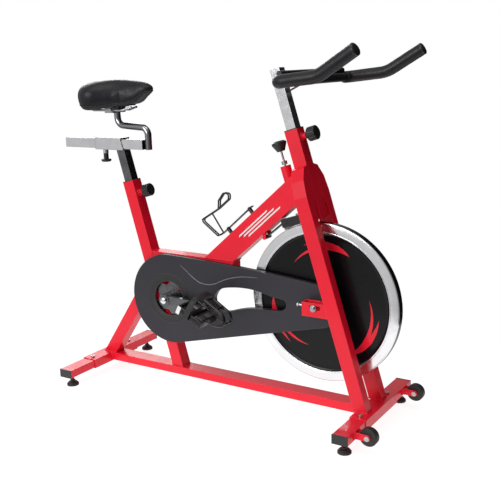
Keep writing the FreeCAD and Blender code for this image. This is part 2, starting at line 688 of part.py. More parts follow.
def build_axle_hardware():
    """Slotted boxes behind the fork legs, their nuts, and the screws that tension the chain."""
    brackets, hardware = [], []
    inside, outside = cell("leg_inside"), cell("leg_outside")
    for name, side in (("right", -1), ("left", 1)):
        middle = side * (inside + outside) / 2
        shell = block(f"{name}_box", "110", "dims.leg_outside - dims.leg_inside", "40",
                      at(AXLE.x + 18, middle, AXLE.z - 6))
        hollow = block(f"{name}_box_hollow", "110", "dims.leg_outside - dims.leg_inside - 8", "60",
                       at(AXLE.x + 22, middle, AXLE.z - 6))
        slot = block(f"{name}_slot", "34", "60", "2 * dims.axle_radius + 0.6",
                     at(AXLE.x + 3, middle, AXLE.z))
        screw_hole = rod(f"{name}_screw_hole", "4.2", "60", x_place(AXLE.x - 60, middle, AXLE.z))
        leg = block(f"{name}_leg_cope", "dims.tube_side", "80", "500", moved(HEAD, 0, middle, 355))
        ahead = block(f"{name}_leg_ahead", "200", "80", "500", moved(HEAD, 100, middle, 355))
        brackets.append(cut(f"{name}_axle_bracket", shell, hollow, slot, screw_hole, leg, ahead))
        for face in (outside, inside - 5):
            start = max(side * face, side * (face + 5))
            hardware.append(ring(f"{name}_nut", "9.5", "dims.axle_radius", start, "5", AXLE))
        thread = rod(f"{name}_screw", "4", "46", x_place(AXLE.x - 53, middle, AXLE.z))
        head = rod(f"{name}_screw_head", "6.5", "5", x_place(AXLE.x - 58, middle, AXLE.z))
        lock = rod(f"{name}_lock_nut", "7", "5", x_place(AXLE.x - 42, middle, AXLE.z))
        hardware.append(fuse(f"{name}_tensioner", thread, head, lock))
    node("axle_brackets", group("axle_brackets", *brackets))
    node("axle_nuts", group("axle_nuts", *hardware))


def x_place(x, y, z):
    """A place whose local Z points to +X."""
    return Placement(Vector(x, y, z), Rotation(Vector(0, 1, 0), 90))


# ---------------------------------------------------------------- chain guard
def guard_face(inset, y):
    """The guard's outline: a round rear end, a bowed top edge and a smaller round nose."""
    rear = cell("guard_rear_radius") - inset
    nose = cell("guard_front_radius") - inset
    back = Vector(CRANK.x - 0.8, y, CRANK.z - 2.4)
    front = Vector(AXLE.x, y, cell("guard_front_z"))
    span = front - back
    slope = math.atan2(span.z, span.x)
    lean = math.asin((rear - nose) / math.hypot(span.x, span.z))
    low = slope - math.pi / 2 + lean

    def rim(centre, radius, angle):
        return centre + Vector(radius * math.cos(angle), 0, radius * math.sin(angle))

    high_rear, high_nose = math.radians(90), math.radians(82)
    start, end = rim(back, rear, high_rear), rim(front, nose, high_nose)
    bow = (start + end) * 0.5 + Vector(0, 0, 6)
    edges = [Part.Arc(start, bow, end),
             Part.Arc(end, rim(front, nose, (high_nose + low) / 2), rim(front, nose, low)),
             Part.LineSegment(rim(front, nose, low), rim(back, rear, low)),
             Part.Arc(rim(back, rear, low), rim(back, rear, math.pi), start)]
    return Part.Face(Part.Wire([edge.toShape() for edge in edges]))


SLOT_POINTS = [(0, 316), (18, 341), (60, 354), (115, 358), (165, 353), (214, 343), (250, 331),
               (247, 316), (213, 303), (165, 301), (120, 297), (70, 284), (28, 277), (5, 292)]


def slot_face(grow, y):
    """The long opening between the chain's two runs."""
    middle = Vector(125, y, 318)
    points = []
    for x, z in SLOT_POINTS:
        ray = Vector(x, y, z) - middle
        points.append(middle + ray * (1 + grow / ray.Length))
    curve = Part.BSplineCurve()
    curve.interpolate(points, PeriodicFlag=True)
    return Part.Face(Part.Wire([curve.toShape()]))


def build_guard():
    near, skirt, wall = cell("guard_near"), cell("guard_skirt"), cell("guard_wall")
    depth = skirt - near
    shell = guard_face(0, near).extrude(Vector(0, depth, 0))
    shell = shell.cut(guard_face(wall, near + wall).extrude(Vector(0, depth, 0)))
    lip = slot_face(wall, near).extrude(Vector(0, depth, 0))
    shell = shell.fuse(lip).cut(slot_face(0, near - 1).extrude(Vector(0, depth + 2, 0)))
    eye = Vector(CRANK.x, near - 1, CRANK.z)
    shell = shell.cut(Part.makeCylinder(cell("guard_hole"), 20, eye, Vector(0, 1, 0)))
    dish = Part.makeCone(cell("guard_dish"), cell("guard_dish") - 3, 1.2, Vector(eye.x, near, eye.z),
                         Vector(0, 1, 0))
    nut_hole = Part.makeCylinder(11, 20, Vector(AXLE.x, near - 1, AXLE.z), Vector(0, 1, 0))
    shell = shell.cut(dish).cut(nut_hole)
    node("chain_guard_outer", shaped("chain_guard_outer", shell.removeSplitter()))

    inner = guard_face(0, skirt).extrude(Vector(0, 2, 0))
    inner = inner.common(Part.makeBox(600, 20, 400, Vector(-95, skirt - 5, -10)))
    inner = inner.cut(slot_face(0, skirt - 1).extrude(Vector(0, 5, 0)))
    inner = inner.cut(Part.makeCylinder(cell("hub_radius") + 4, 20, AXLE + Vector(0, -30, 0),
                                        Vector(0, 1, 0)))
    screws = []
    for x, z in ((-70, 372), (60, 374), (290, 371), (-70, 174), (150, 229), (352, 285)):
        place = sideways(x, skirt + 4, z)
        inner = inner.cut(Part.makeCylinder(2.2, 20, Vector(x, skirt - 5, z), Vector(0, 1, 0)))
        screws.append(fuse("guard_screw", rod("screw_thread", "2", "9", place),
                           rod("screw_head", "4", "1.8", place)))
    node("chain_guard_inner", shaped("chain_guard_inner", inner))
    node("guard_screws", group("guard_screws", *screws))


# ---------------------------------------------------------------- posts, slider and saddle stem
TILT = sideways(cell("tilt_x"), 30, cell("tilt_z"))


def build_seat_post():
    side, wall = "dims.post_side", "dims.post_wall"
    top = size("(dims.slide_z - dims.slide_height / 2 - dims.slide_gap - dims.collar_wall)"
               " / cos(dims.seat_lean)")
    start = cell("seat_top") - 230
    post = tube("seat_post_full", side, side, wall, f"{top + 20 - start}", moved(SEAT, 0, 0, start))
    lowest = cell("slide_z") - size("dims.slide_height / 2 + dims.slide_gap + dims.collar_wall")
    above = block("post_level", "400", "200", "100", at(-360, 0, lowest + 50))
    node("seat_post", cut("seat_post", post, above))

    width = "dims.slide_width + 2 * dims.slide_gap + 2 * dims.collar_wall"
    height = "dims.slide_height + 2 * dims.slide_gap + 2 * dims.collar_wall"
    collar = tube("collar_tube", width, height, "dims.collar_wall",
                  "dims.collar_front - dims.collar_rear + 10",
                  x_place(cell("collar_rear"), 0, cell("slide_z")))
    slant = at(cell("collar_front"), 0, cell("slide_z"), cell("seat_lean"))
    collar = cut("collar_slanted", collar, block("collar_end", "60", "100", "100", moved(slant, 30, 0, 0)))
    socket_place = Placement(Vector(-428, 0, lowest), Rotation(Vector(1, 0, 0), 180))
    socket = rod("slide_pin_socket", "8.5", "14", socket_place)
    bore = rod("slide_pin_bore", "5.4", "40", moved(socket_place, 0, 0, -6))
    node("slider_collar", cut("slider_collar", fuse("collar_solid", collar, socket), bore))

    bar = tube("slider_full", "dims.slide_width", "dims.slide_height", "dims.post_wall",
               "dims.slide_front - dims.slide_rear", x_place(cell("slide_rear"), 0, cell("slide_z")))
    node("slider_bar", bar)
    front = cell("slide_front") + cell("stem_radius") + 0.2
    route = [Vector(front, 0, 749), Vector(front, 0, 816), Vector(-368, 0, 823),
             Vector(-371.5, 0, 879)]
    bend = cell("stem_bend")
    stem = bent_rod("saddle_stem_bar", route, [bend, bend], "dims.stem_radius")
    node("saddle_stem", cut("saddle_stem", stem, rod("stem_bolt_hole", "4.1", "60", TILT)))


def build_saddle():
    """A padded saddle: cushion over a moulded shell, on two rails held by a clamp."""
    sections = [(cell("saddle_rear"), 0.22, 905, 936), (-480, 0.47, 889, 946),
                (-470, 0.69, 880, 952), (-455, 0.86, 873, 957), (-432, 0.97, 870, 961),
                (-412, 1.0, 870, 962), (-395, 0.93, 871, 962), (-370, 0.735, 875, 961),
                (-345, 0.56, 880, 960), (-320, 0.44, 884, 960), (-295, 0.36, 888, 959),
                (-275, 0.32, 895, 957), (-258, 0.285, 908, 955), (-243, 0.245, 917, 950),
                (-232, 0.18, 925, 944), (cell("saddle_nose"), 0.09, 931, 939)]
    half = cell("saddle_width") / 2

    def section(x, share, low, high, shrink):
        wide, tall = half * share - shrink, (high - low) / 2 - shrink * 0.5
        middle = (high + low) / 2
        points = []
        for step in range(16):
            angle = 2 * math.pi * step / 16
            across, up = math.cos(angle), math.sin(angle)
            points.append(Vector(x, wide * math.copysign(abs(across) ** 0.8, across),
                                 middle + tall * math.copysign(abs(up) ** 0.75, up)))
        curve = Part.BSplineCurve()
        curve.interpolate(points, PeriodicFlag=True)
        return Part.Wire([curve.toShape()])

    cushion = Part.makeLoft([section(*entry, 0) for entry in sections], True, False)
    hollow = [(-470, 45), (-440, 72), (-400, 74), (-350, 42), (-300, 20), (-290, 14)]
    corners = hollow + [(x, -y) for x, y in reversed(hollow)]
    recess = Part.Face(Part.makePolygon([Vector(x, y, 860) for x, y in corners + corners[:1]]))
    cushion = cushion.cut(recess.extrude(Vector(0, 0, 28)))
    node("saddle_cushion", shaped("saddle_cushion", cushion))
    plate = padded("saddle_plate", "XY_Plane",
                   [("-462", "-42"), ("-440", "-64"), ("-400", "-68"), ("-335", "-28"),
                    ("-305", "-14"), ("-305", "14"), ("-335", "28"), ("-400", "68"),
                    ("-440", "64"), ("-462", "42")],
                   "4", at(0, 0, 884))
    node("saddle_shell", plate)
    rails = []
    for side in (-1, 1):
        route = [Vector(-455, side * 34, 880), Vector(-440, side * 30, 870),
                 Vector(-335, side * 20, 870), Vector(-300, side * 12, 879)]
        rails.append(bent_rod("rail", route, [14, 20], "3.5"))
    node("saddle_rails", group("saddle_rails", *rails))
    clamp = block("clamp_block", "32", "62", "18", at(-378, 0, 871))
    lean = math.degrees(math.atan2(3.5, 56))
    slot = block("clamp_slot", "2 * dims.stem_radius + 6", "2 * dims.stem_radius + 0.1", "40",
                 at(cell("tilt_x"), 0, cell("tilt_z"), lean))
    jaws = cut("clamp_jaws", clamp, slot, *rails)
    bolt = rod("tilt_bolt", "4", "34", moved(TILT, 0, 0, 13))
    heads = [rod("tilt_bolt_head", "6.5", "4", moved(TILT, 0, 0, start)) for start in (-5, 61)]
    node("saddle_clamp", fuse("saddle_clamp", jaws, bolt, *heads))


# ---------------------------------------------------------------- handlebar
def horn_route(side, ends_at):
    """The grip's route on one side, from the tip back and round the rear corner."""
    half, z, rear = cell("bar_half"), cell("bar_z"), cell("bar_rear")
    return [Vector(549, side * (half + 8), 1030), Vector(447, side * half, z + 12),
            Vector(rear, side * half, z), Vector(rear, side * ends_at, z)]


def build_handlebar():
    side, wall = "dims.post_side", "dims.post_wall"
    start, top = cell("head_top") - 200, cell("bar_post_top")
    post = tube("bar_post_full", side, side, wall, f"{top - start}", moved(HEAD, 0, 0, start))
    lid = block("bar_post_lid", side, side, wall, moved(HEAD, 0, 0, top - 1))
    node("bar_post", fuse("bar_post", post, lid))
    rear, z = cell("bar_rear"), cell("bar_z")
    route = horn_route(-1, 0)[:3] + horn_route(1, 0)[2::-1]
    outer = bent_rod("bar_outer", route, [90, 24, 24, 90], "dims.bar_radius")
    inner = bent_rod("bar_inner", route, [90, 24, 24, 90], "dims.bar_radius - dims.bar_wall")
    bar = cut("u_bar", outer, inner)

    grips, caps = [], []
    for name, sign in (("right", -1), ("left", 1)):
        path = horn_route(sign, 180)
        foam = bent_rod(f"{name}_foam", path, [90, 24], "dims.grip_radius")
        core = bent_rod(f"{name}_core", path, [90, 24], "dims.bar_radius")
        grips.append(cut(f"{name}_grip", foam, core))
        heading = Rotation(Vector(0, 0, 1), path[0] - path[1])
        caps.append(rod(f"{name}_cap", "dims.grip_radius - 0.5", "4", Placement(path[0], heading)))
    node("foam_grips", group("foam_grips", *grips, *caps))

    bar_line = rod("bar_cope", "dims.bar_radius", "400", along_y(rear, z, -200))
    post_bar = envelope("bracket_cope", HEAD, "800", "300", "dims.post_side", "60")
    stem = block("bracket_stem", "130", "34", "22", at(rear - 65, 0, z - 1))
    gusset = padded("bracket_gusset", "XZ_Plane",
                    [("238", "918"), ("238", "923"), ("292", "948"), ("301", "948")],
                    "5", at(0, 0, 0), both_ways=True)
    behind = block("bracket_end", "200", "100", "400", moved(HEAD, -100, 0, 1000))
    node("bar_bracket", cut("bar_bracket", fuse("bracket_solid", stem, gusset), bar_line, post_bar,
                            behind))
    upper = rod("cross_tube", "dims.cross_radius", "2 * dims.cross_half",
                along_y(cell("cross_x"), cell("cross_z"), -cell("cross_half")))
    tabs = [block("cross_tab", "8", "16", "14", at(rear - 4, y, cell("cross_z") - 7))
            for y in (-120, 120)]
    crossbar = fuse("crossbar", upper, cut("cross_tabs", fuse("cross_tab_pair", *tabs), bar_line))
    node("handlebar", group("handlebar", bar, crossbar))


# ---------------------------------------------------------------- pull pins
def flutes(name, radius, count, start, length, place):
    """Round grooves about a knob's edge."""
    grooves = []
    for index in range(count):
        angle = 2 * math.pi * index / count
        grooves.append(rod(name, "2.6", length, moved(place, radius * math.cos(angle),
                                                      radius * math.sin(angle), start)))
    return fuse(name + "s", *grooves)


def build_pull_pins():
    """Spring-loaded pins: a steel plunger in a welded socket, with a knob to pull it by."""
    for name, place, tube_name in (("seat", SEAT, "seat"), ("bar", HEAD, "head")):
        spot = pin_spot(place, pin_height(tube_name))
        pin = turned(f"{name}_plunger", [("0", "-4.5"), ("4", "-4.5"), ("5", "-2"), ("5", "14.5"),
                                         ("7", "14.5"), ("7", "19"), ("0", "19")], spot)
        knob = turned(f"{name}_knob_solid", [("0", "19"), ("dims.knob_radius - 5", "19"),
                                             ("dims.knob_radius", "23"),
                                             ("dims.knob_radius", "17 + dims.knob_length"),
                                             ("dims.knob_radius - 2", "19 + dims.knob_length"),
                                             ("0", "19 + dims.knob_length")], spot)
        ridged = cut(f"{name}_knob", knob, flutes(f"{name}_flute", cell("knob_radius") + 0.8, 12,
                                                  18, "dims.knob_length + 5", spot))
        node(f"{name}_pull_pin", group(f"{name}_pull_pin", pin, ridged))
    lowest = cell("slide_z") - size("dims.slide_height / 2 + dims.slide_gap + dims.collar_wall")
    down = Placement(Vector(-428, 0, lowest), Rotation(Vector(1, 0, 0), 180))
    profile = [("0", "-3.3"), ("5", "-3.3"), ("5", "14.5"), ("8", "14.5"), ("8", "30"), ("16", "33"),
               ("16", "38"), ("13", "41"), ("0", "41")]
    node("slider_pull_pin", turned("slider_pull_pin", profile, down))


# ---------------------------------------------------------------- brake
def build_brake():
    """A turned rod presses a padded shoe onto the rim; the shoe hangs on an arm."""
    wheel = cell("wheel_radius")
    threaded = turned("brake_rod", [("0", "262.5"), ("dims.rod_radius", "262.5"),
                                    ("dims.rod_radius", "403"), ("8", "403"), ("8", "413"),
                                    ("dims.rod_radius", "413"), ("dims.rod_radius", "441"),
                                    ("0", "441")], radial(0))
    node("brake_rod", threaded)
    node("brake_knob", turned("brake_knob", [("0", "441"), ("11", "441"), ("21", "461"), ("21", "466"),
                                             ("15", "470"), ("0", "470")], radial(0)))
    node("brake_foot", turned("brake_foot", [("0", "257.3"), ("10", "257.3"), ("10", "262.3"),
                                             ("0", "262.3")], radial(0)))
    middle = moved(radial(wheel + 15), -13.5, 0, 0)
    channel = block("shoe_outside", "83", "34", "24", middle)
    hollow = block("shoe_inside", "100", "27", "24", moved(middle, 0, 0, -3))
    bolt_place = moved(middle, -29, 20, 0).multiply(Placement(Vector(), Rotation(Vector(1, 0, 0), 90)))
    bolt = rod("shoe_bolt", "3", "40", bolt_place)
    node("brake_shoe", fuse("brake_shoe", cut("shoe_channel", channel, hollow), bolt))
    rim = rod("pad_curve", "dims.wheel_radius + dims.brake_gap", "80", sideways(AXLE.x, 40, AXLE.z))
    pad = block("pad_block", "78", "26.4", "30", moved(radial(wheel + 8.8), -13.5, 0, 0))
    groove = rod("pad_groove", "3.1", "40", bolt_place)
    node("brake_pad", cut("brake_pad", pad, rim, groove))
    pivot, end = Vector(cell("pivot_x"), 0, cell("pivot_z")), Vector(224, 0, 556)
    reach = end - pivot
    heading = Rotation(Vector(0, 0, 1), reach)
    bar = block("arm_bar", "14", "4", f"{reach.Length}",
                Placement((pivot + end) * 0.5, heading.multiply(Rotation(Vector(0, 0, 1), 90))))
    eye = rod("arm_eye", "6", "24", sideways(pivot.x, 12, pivot.z))
    arm = cut("brake_arm", fuse("arm_solid", bar, eye),
              rod("arm_bore", "3.1", "40", sideways(pivot.x, 20, pivot.z)),
              block("arm_shoe_cope", "83.2", "40", "24.2", middle))
    node("brake_arm", arm)


# ---------------------------------------------------------------- pedals
def build_pedals():
    for name, side, forward in (("right", -1, 1), ("left", 1, -1)):
        tip = CRANK.x + forward * cell("crank_length")
        outer = side * cell("crank_outer")
        centre = side * cell("pedal_centre")
        long, wide, tall = "dims.pedal_length", "dims.pedal_width", "dims.pedal_height"
        body = block(f"{name}_pedal_block", long, wide, tall, at(tip, centre, CRANK.z))
        holes = []
        for x in (-27, 27):
            holes.append(block(f"{name}_pedal_window", "22", "62", "60",
                               at(tip + x, centre + side * 3, CRANK.z)))
        cage = cut(f"{name}_pedal_cage", body, *holes)
        start = side * (cell("crank_inner") + 2)
        length = abs(centre) + cell("pedal_width") / 2 - abs(start) - 6
        low = start if side < 0 else start + length
        spindle = rod(f"{name}_pedal_spindle", "7", f"{length}", sideways(tip, low, CRANK.z))
        shoulder = rod(f"{name}_pedal_shoulder", "9.5", "12",
                       sideways(tip, max(outer, outer + side * 12), CRANK.z))
        platform = fuse(f"{name}_platform", cage, spindle, shoulder)
        clip, strap = toe_clip(name, tip, centre)
        whole = group(f"pedal_{name}", platform, clip, strap)
        level = Placement(Vector(-tip, 0, -CRANK.z), Rotation())
        whole.Placement = at(tip, 0, CRANK.z, -cell("pedal_tip")).multiply(level)
        node(f"pedal_{name}", whole)


def toe_clip(name, tip, centre):
    """A thin cage over the toe and a strap across it."""
    half_long, half_tall = cell("pedal_length") / 2, cell("pedal_height") / 2
    hoops = []
    for y in (-26, 26):
        route = [Vector(tip + half_long - 8, centre + y, CRANK.z + half_tall + 2.6),
                 Vector(tip + half_long + 26, centre + y * 0.9, CRANK.z + half_tall + 4),
                 Vector(tip + half_long + 62, centre + y * 0.75, CRANK.z + half_tall + 22),
                 Vector(tip + half_long + 40, centre + y * 0.62, CRANK.z + half_tall + 48),
                 Vector(tip + 12, centre + y * 0.6, CRANK.z + half_tall + 53)]
        hoops.append(bent_rod(f"{name}_toe_hoop", route, [12, 16, 16], "2.5"))
    bridge = block(f"{name}_toe_bridge", "16", "44", "5",
                   at(tip + 16, centre, CRANK.z + half_tall + 53))
    strap_out = block(f"{name}_strap_out", "20", "104", "78", at(tip - 6, centre, CRANK.z + 24))
    strap_in = block(f"{name}_strap_in", "30", "100", "74", at(tip - 6, centre, CRANK.z + 24))
    strap = cut(f"{name}_strap", strap_out, strap_in)
    return fuse(f"{name}_toe_cage", bridge, *hoops), strap


# ---------------------------------------------------------------- feet, wheels and their bolts
def build_feet():
    for end_name, x in (("rear", cell("rear_x")), ("front", cell("front_x"))):
        for side_name, side in (("right", -1), ("left", 1)):
            place = at(x, side * cell("foot_offset"), 0)
            pad = turned("foot_pad", [("0", "0"), ("dims.foot_radius", "0"), ("dims.foot_radius", "5"),
                                      ("dims.foot_radius - 5", "dims.foot_height"),
                                      ("0", "dims.foot_height")], place)
            stud = turned("foot_stud", [("0", "dims.foot_height"), ("8", "dims.foot_height"),
                                        ("8", "dims.foot_height + 6"),
                                        ("dims.stud_radius", "dims.foot_height + 6"),
                                        ("dims.stud_radius", "dims.stud_length"),
                                        ("0", "dims.stud_length")], place)
            node(f"foot_{end_name}_{side_name}", group(f"foot_{end_name}_{side_name}", pad, stud))


def build_rollers(bolts):
    x, z = cell("roller_x"), cell("roller_z")
    brackets = []
    tube_face = cell("front_x") + cell("stab_width") / 2
    for name, side in (("right", -1), ("left", 1)):
        middle = side * cell("roller_y")
        half = "dims.roller_width / 2"
        tyre = turned("roller_tyre", [("17", f"-{half}"), ("dims.roller_radius - 2", f"-{half}"),
                                      ("dims.roller_radius", f"2 - {half}"),
                                      ("dims.roller_radius", f"{half} - 2"),
                                      ("dims.roller_radius - 2", half), ("17", half)],
                      sideways(x, middle, z))
        hub = turned("roller_hub", [("4.1", f"-{half}"), ("17", f"-{half}"), ("17", half),
                                    ("4.1", half)], sideways(x, middle, z))
        node(f"roller_{name}", group(f"roller_{name}", tyre, hub))
        back = block("roller_back", "3", "32", "22", at(tube_face + 1.5, middle, z))
        cheeks = []
        for y in (-13, 13):
            cheeks.append(block("roller_cheek", f"{x - tube_face}", "3", "18",
                                at((x + tube_face) / 2, middle + y, z)))
            cheeks.append(rod("roller_cheek_eye", "9", "3", sideways(x, middle + y + 1.5, z)))
        brackets.append(cut("roller_bracket", fuse("roller_fork", back, *cheeks),
                            rod("roller_bolt_hole", "4", "60", sideways(x, middle + 30, z))))
        pin = rod("roller_pin", "4", "35", sideways(x, middle + 17.5, z))
        heads = [rod("roller_pin_head", "7", "4", sideways(x, middle + y, z))
                 for y in (-14.5, 18.5)]
        bolts.append(fuse("roller_bolt", pin, *heads))
    node("roller_brackets", group("roller_brackets", *brackets))
    node("base_bolts", group("base_bolts", *bolts))


# ---------------------------------------------------------------- bottle cage
def build_bottle_cage():
    """A wire cage on two spacers along the top of the diagonal tube."""
    back = cell("main_depth") / 2
    gap = 18

    def spot(out, across, along):
        return MAIN.multVec(Vector(-back - out, across, along))

    strip = block("cage_strip", "3", "14", "140", moved(MAIN, -back - gap - 1.5, 0, -52))
    wires = []
    for y in (-5, 5):
        route = [spot(gap + 2, y, -119), spot(gap + 6, y, -139), spot(96, y, -156),
                 spot(84, y, -82), spot(83, y, -33), spot(95, y, -22), spot(108, y, -35),
                 spot(101, y, -66)]
        wires.append(bent_rod("cage_side", route, [6, 8, 20, 6, 6, 6], "2.5"))
        wires.append(straight_rod("cage_return", spot(102, y, -63), spot(84.5, y, -81), "2.5"))
    wires.append(straight_rod("cage_brace", spot(22, 0, -119), spot(89, 0, -112), "2.5"))
    for out, along in ((89, -112), (84, -70), (95.5, -152)):
        wires.append(straight_rod("cage_tie", spot(out, -5, along), spot(out, 5, along), "2"))
    cage = fuse("bottle_cage_wire", strip, *wires)
    spacers = []
    for along in (-96, 4):
        base = moved(MAIN, -back, 0, along).multiply(Placement(Vector(), Rotation(Vector(0, 1, 0), -90)))
        spacers.append(rod("cage_spacer", "6", f"{gap}", base))
    node("bottle_cage", group("bottle_cage", cage, *spacers))


base_bolts = build_base()
build_feet()
build_rollers(base_bolts)
build_frame()
build_bosses()
build_bushings()
build_bottom_bracket()
build_cranks()
build_drive()
build_flywheel()
build_axle_hardware()
build_guard()
build_seat_post()
build_saddle()
build_handlebar()
build_pull_pins()
build_brake()
build_pedals()
build_bottle_cage()

# ---------------------------------------------------------------- check and write
doc.recompute()
for thing in doc.Objects:
    if "Invalid" in thing.State or "Error" in thing.State:
        raise RuntimeError(f"{thing.Name} failed: {thing.State}")
os.makedirs("parts", exist_ok=True)
for part in NODES:
    if part.Shape.isNull() or not part.Shape.isValid():
        raise RuntimeError(f"{part.Label} has a bad shape")
    part.Shape.exportStep(f"parts/{part.Label}.step")
print(len(NODES), "sub-parts written")
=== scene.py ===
"""Looks for the indoor spin bike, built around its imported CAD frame.

Metres. +X points forward to the flywheel, +Y to the rider's left, +Z up; the floor is z = 0.
"""

import json
import math

import bmesh
import bpy
from mathutils import Matrix, Vector, noise
from mathutils.bvhtree import BVHTree


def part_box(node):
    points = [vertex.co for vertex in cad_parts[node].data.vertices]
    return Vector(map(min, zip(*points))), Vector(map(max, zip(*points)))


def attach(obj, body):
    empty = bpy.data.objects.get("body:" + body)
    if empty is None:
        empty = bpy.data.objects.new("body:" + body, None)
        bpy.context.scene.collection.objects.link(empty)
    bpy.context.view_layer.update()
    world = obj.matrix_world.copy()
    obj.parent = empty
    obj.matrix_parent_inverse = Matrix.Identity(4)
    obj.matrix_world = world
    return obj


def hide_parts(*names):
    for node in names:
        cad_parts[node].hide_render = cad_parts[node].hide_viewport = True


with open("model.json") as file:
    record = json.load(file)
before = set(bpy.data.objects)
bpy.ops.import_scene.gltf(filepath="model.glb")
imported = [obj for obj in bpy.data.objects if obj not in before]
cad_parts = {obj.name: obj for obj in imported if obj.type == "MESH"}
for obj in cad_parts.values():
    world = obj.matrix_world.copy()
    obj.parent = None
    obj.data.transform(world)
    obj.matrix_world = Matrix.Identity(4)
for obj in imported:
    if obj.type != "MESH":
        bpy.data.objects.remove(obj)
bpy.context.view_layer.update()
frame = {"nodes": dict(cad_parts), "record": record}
NODES = frame["nodes"]
SLOT_OF = {part["node"]: part["material_slot"] for part in frame["record"]["subparts"]}
MM = 0.001


# ---------------------------------------------------------------- places
def leaning(x, z, lean):
    """A place whose local Z leans back (towards -X) by lean degrees."""
    return Matrix.Translation((x * MM, 0, z * MM)) @ Matrix.Rotation(-math.radians(lean), 4, "Y")


def sideways(x, y, z):
    """A place whose local Z points to -Y (the bike's right) and local X to +X."""
    return Matrix.Translation((x * MM, y * MM, z * MM)) @ Matrix.Rotation(math.radians(90), 4, "X")


def mm(x, y, z):
    return Vector((x * MM, y * MM, z * MM))


SEAT = leaning(-146, 0, 15.6)
HEAD = leaning(515.1, 0, 17)
MAIN = leaning(144.5, 547, 40.9 - 90)
STRUT = leaning(-380.5, 160.7, 55.5 - 90)
AXLE = Vector((355 * MM, 0, 340.3 * MM))
_low, _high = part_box("crank_axle")
CRANK = Vector(((_low.x + _high.x) / 2, 0, (_low.z + _high.z) / 2))


# ---------------------------------------------------------------- camera, floor and light
CAMERA_SPOT = (1.3680, -1.9788, 1.0134)
CAMERA_AZIMUTH, CAMERA_ELEVATION = math.radians(32.44), math.radians(13.13)
CAMERA_ROLL = -0.0273
CAMERA_LENS, SENSOR_WIDTH = 58.85, 36


def build_camera():
    azimuth, elevation, roll = CAMERA_AZIMUTH, CAMERA_ELEVATION, CAMERA_ROLL
    back = Vector((math.sin(azimuth) * math.cos(elevation), -math.cos(azimuth) * math.cos(elevation),
                   math.sin(elevation)))
    right = Vector((math.cos(azimuth), math.sin(azimuth), 0))
    up = back.cross(right)
    rolled = right * math.cos(roll) + up * math.sin(roll)
    upright = up * math.cos(roll) - right * math.sin(roll)
    data = bpy.data.cameras.new("camera")
    data.lens = CAMERA_LENS
    data.sensor_width = SENSOR_WIDTH
    camera = bpy.data.objects.new("camera", data)
    place = Matrix((rolled, upright, back)).transposed().to_4x4()
    camera.matrix_world = Matrix.Translation(CAMERA_SPOT) @ place
    bpy.context.scene.collection.objects.link(camera)
    bpy.context.scene.camera = camera


def add_light(name, spot, target, size, power, tint=(1, 1, 1)):
    data = bpy.data.lights.new(name, "AREA")
    data.shape = "RECTANGLE"
    data.size, data.size_y = size
    data.energy = power
    data.color = tint
    lamp = bpy.data.objects.new(name, data)
    heading = Vector(target) - Vector(spot)
    lamp.matrix_world = Matrix.Translation(spot) @ heading.to_track_quat("-Z", "Y").to_matrix().to_4x4()
    bpy.context.scene.collection.objects.link(lamp)


# Lamps: name, place, target, size and watts.
LAMPS = [("key", (-0.9, -3.8, 2.0), (0, 0, 0.5), (2.0, 2.0), 78),
         ("top", (0.2, -0.6, 3.4), (0, 0, 0.5), (2.2, 1.6), 23),
         ("edge", (-2.6, 2.2, 1.9), (0, 0, 0.6), (1.4, 1.4), 26)]
# Zones of the studio's light: direction, cosines where it starts and is full, and its strength.
LIGHT_ZONES = [((-0.52, -0.80, 0.20), 0.55, 0.95, 0.62),
               ((0.05, -0.30, 0.95), 0.50, 0.90, 0.50),
               ((-0.75, 0.60, 0.25), 0.70, 0.92, 0.55),
               ((0.60, 0.80, 0.00), 0.55, 0.80, 0.015),
               ((0.98, -0.05, 0.10), 0.85, 0.96, 0.03)]

AMBIENT_LEVEL = 0.22


def build_world():
    world = bpy.data.worlds.new("studio")
    bpy.context.scene.world = world
    world.use_nodes = True
    tree = world.node_tree
    tree.nodes.clear()
    coords = tree.nodes.new("ShaderNodeTexCoord")
    level = None
    for direction, start, full, strength in LIGHT_ZONES:
        dot = tree.nodes.new("ShaderNodeVectorMath")
        dot.operation = "DOT_PRODUCT"
        dot.inputs[1].default_value = Vector(direction).normalized()
        tree.links.new(coords.outputs["Generated"], dot.inputs[0])
        share = tree.nodes.new("ShaderNodeMapRange")
        share.interpolation_type = "SMOOTHSTEP"
        share.inputs["From Min"].default_value = start
        share.inputs["From Max"].default_value = full
        tree.links.new(dot.outputs["Value"], share.inputs["Value"])
        mix = tree.nodes.new("ShaderNodeMix")
        mix.inputs[3].default_value = strength
        if level is None:
            mix.inputs[2].default_value = AMBIENT_LEVEL
        else:
            tree.links.new(level, mix.inputs[2])
        tree.links.new(share.outputs["Result"], mix.inputs[0])
        level = mix.outputs[0]
    studio = tree.nodes.new("ShaderNodeBackground")
    studio.inputs["Color"].default_value = (1, 1, 1, 1)
    tree.links.new(level, studio.inputs["Strength"])
    paper = tree.nodes.new("ShaderNodeBackground")
    paper.inputs["Color"].default_value = (1, 1, 1, 1)
    paper.inputs["Strength"].default_value = 1.0
    path = tree.nodes.new("ShaderNodeLightPath")
    chosen = tree.nodes.new("ShaderNodeMixShader")
    tree.links.new(path.outputs["Is Camera Ray"], chosen.inputs[0])
    tree.links.new(studio.outputs[0], chosen.inputs[1])
    tree.links.new(paper.outputs[0], chosen.inputs[2])
    output = tree.nodes.new("ShaderNodeOutputWorld")
    tree.links.new(chosen.outputs[0], output.inputs["Surface"])


FLOOR_LONG, FLOOR_WIDE = 1.15, 0.95    # half lengths of the floor's oval, in metres
FLOOR_DROP = -0.0004                   # just under the feet


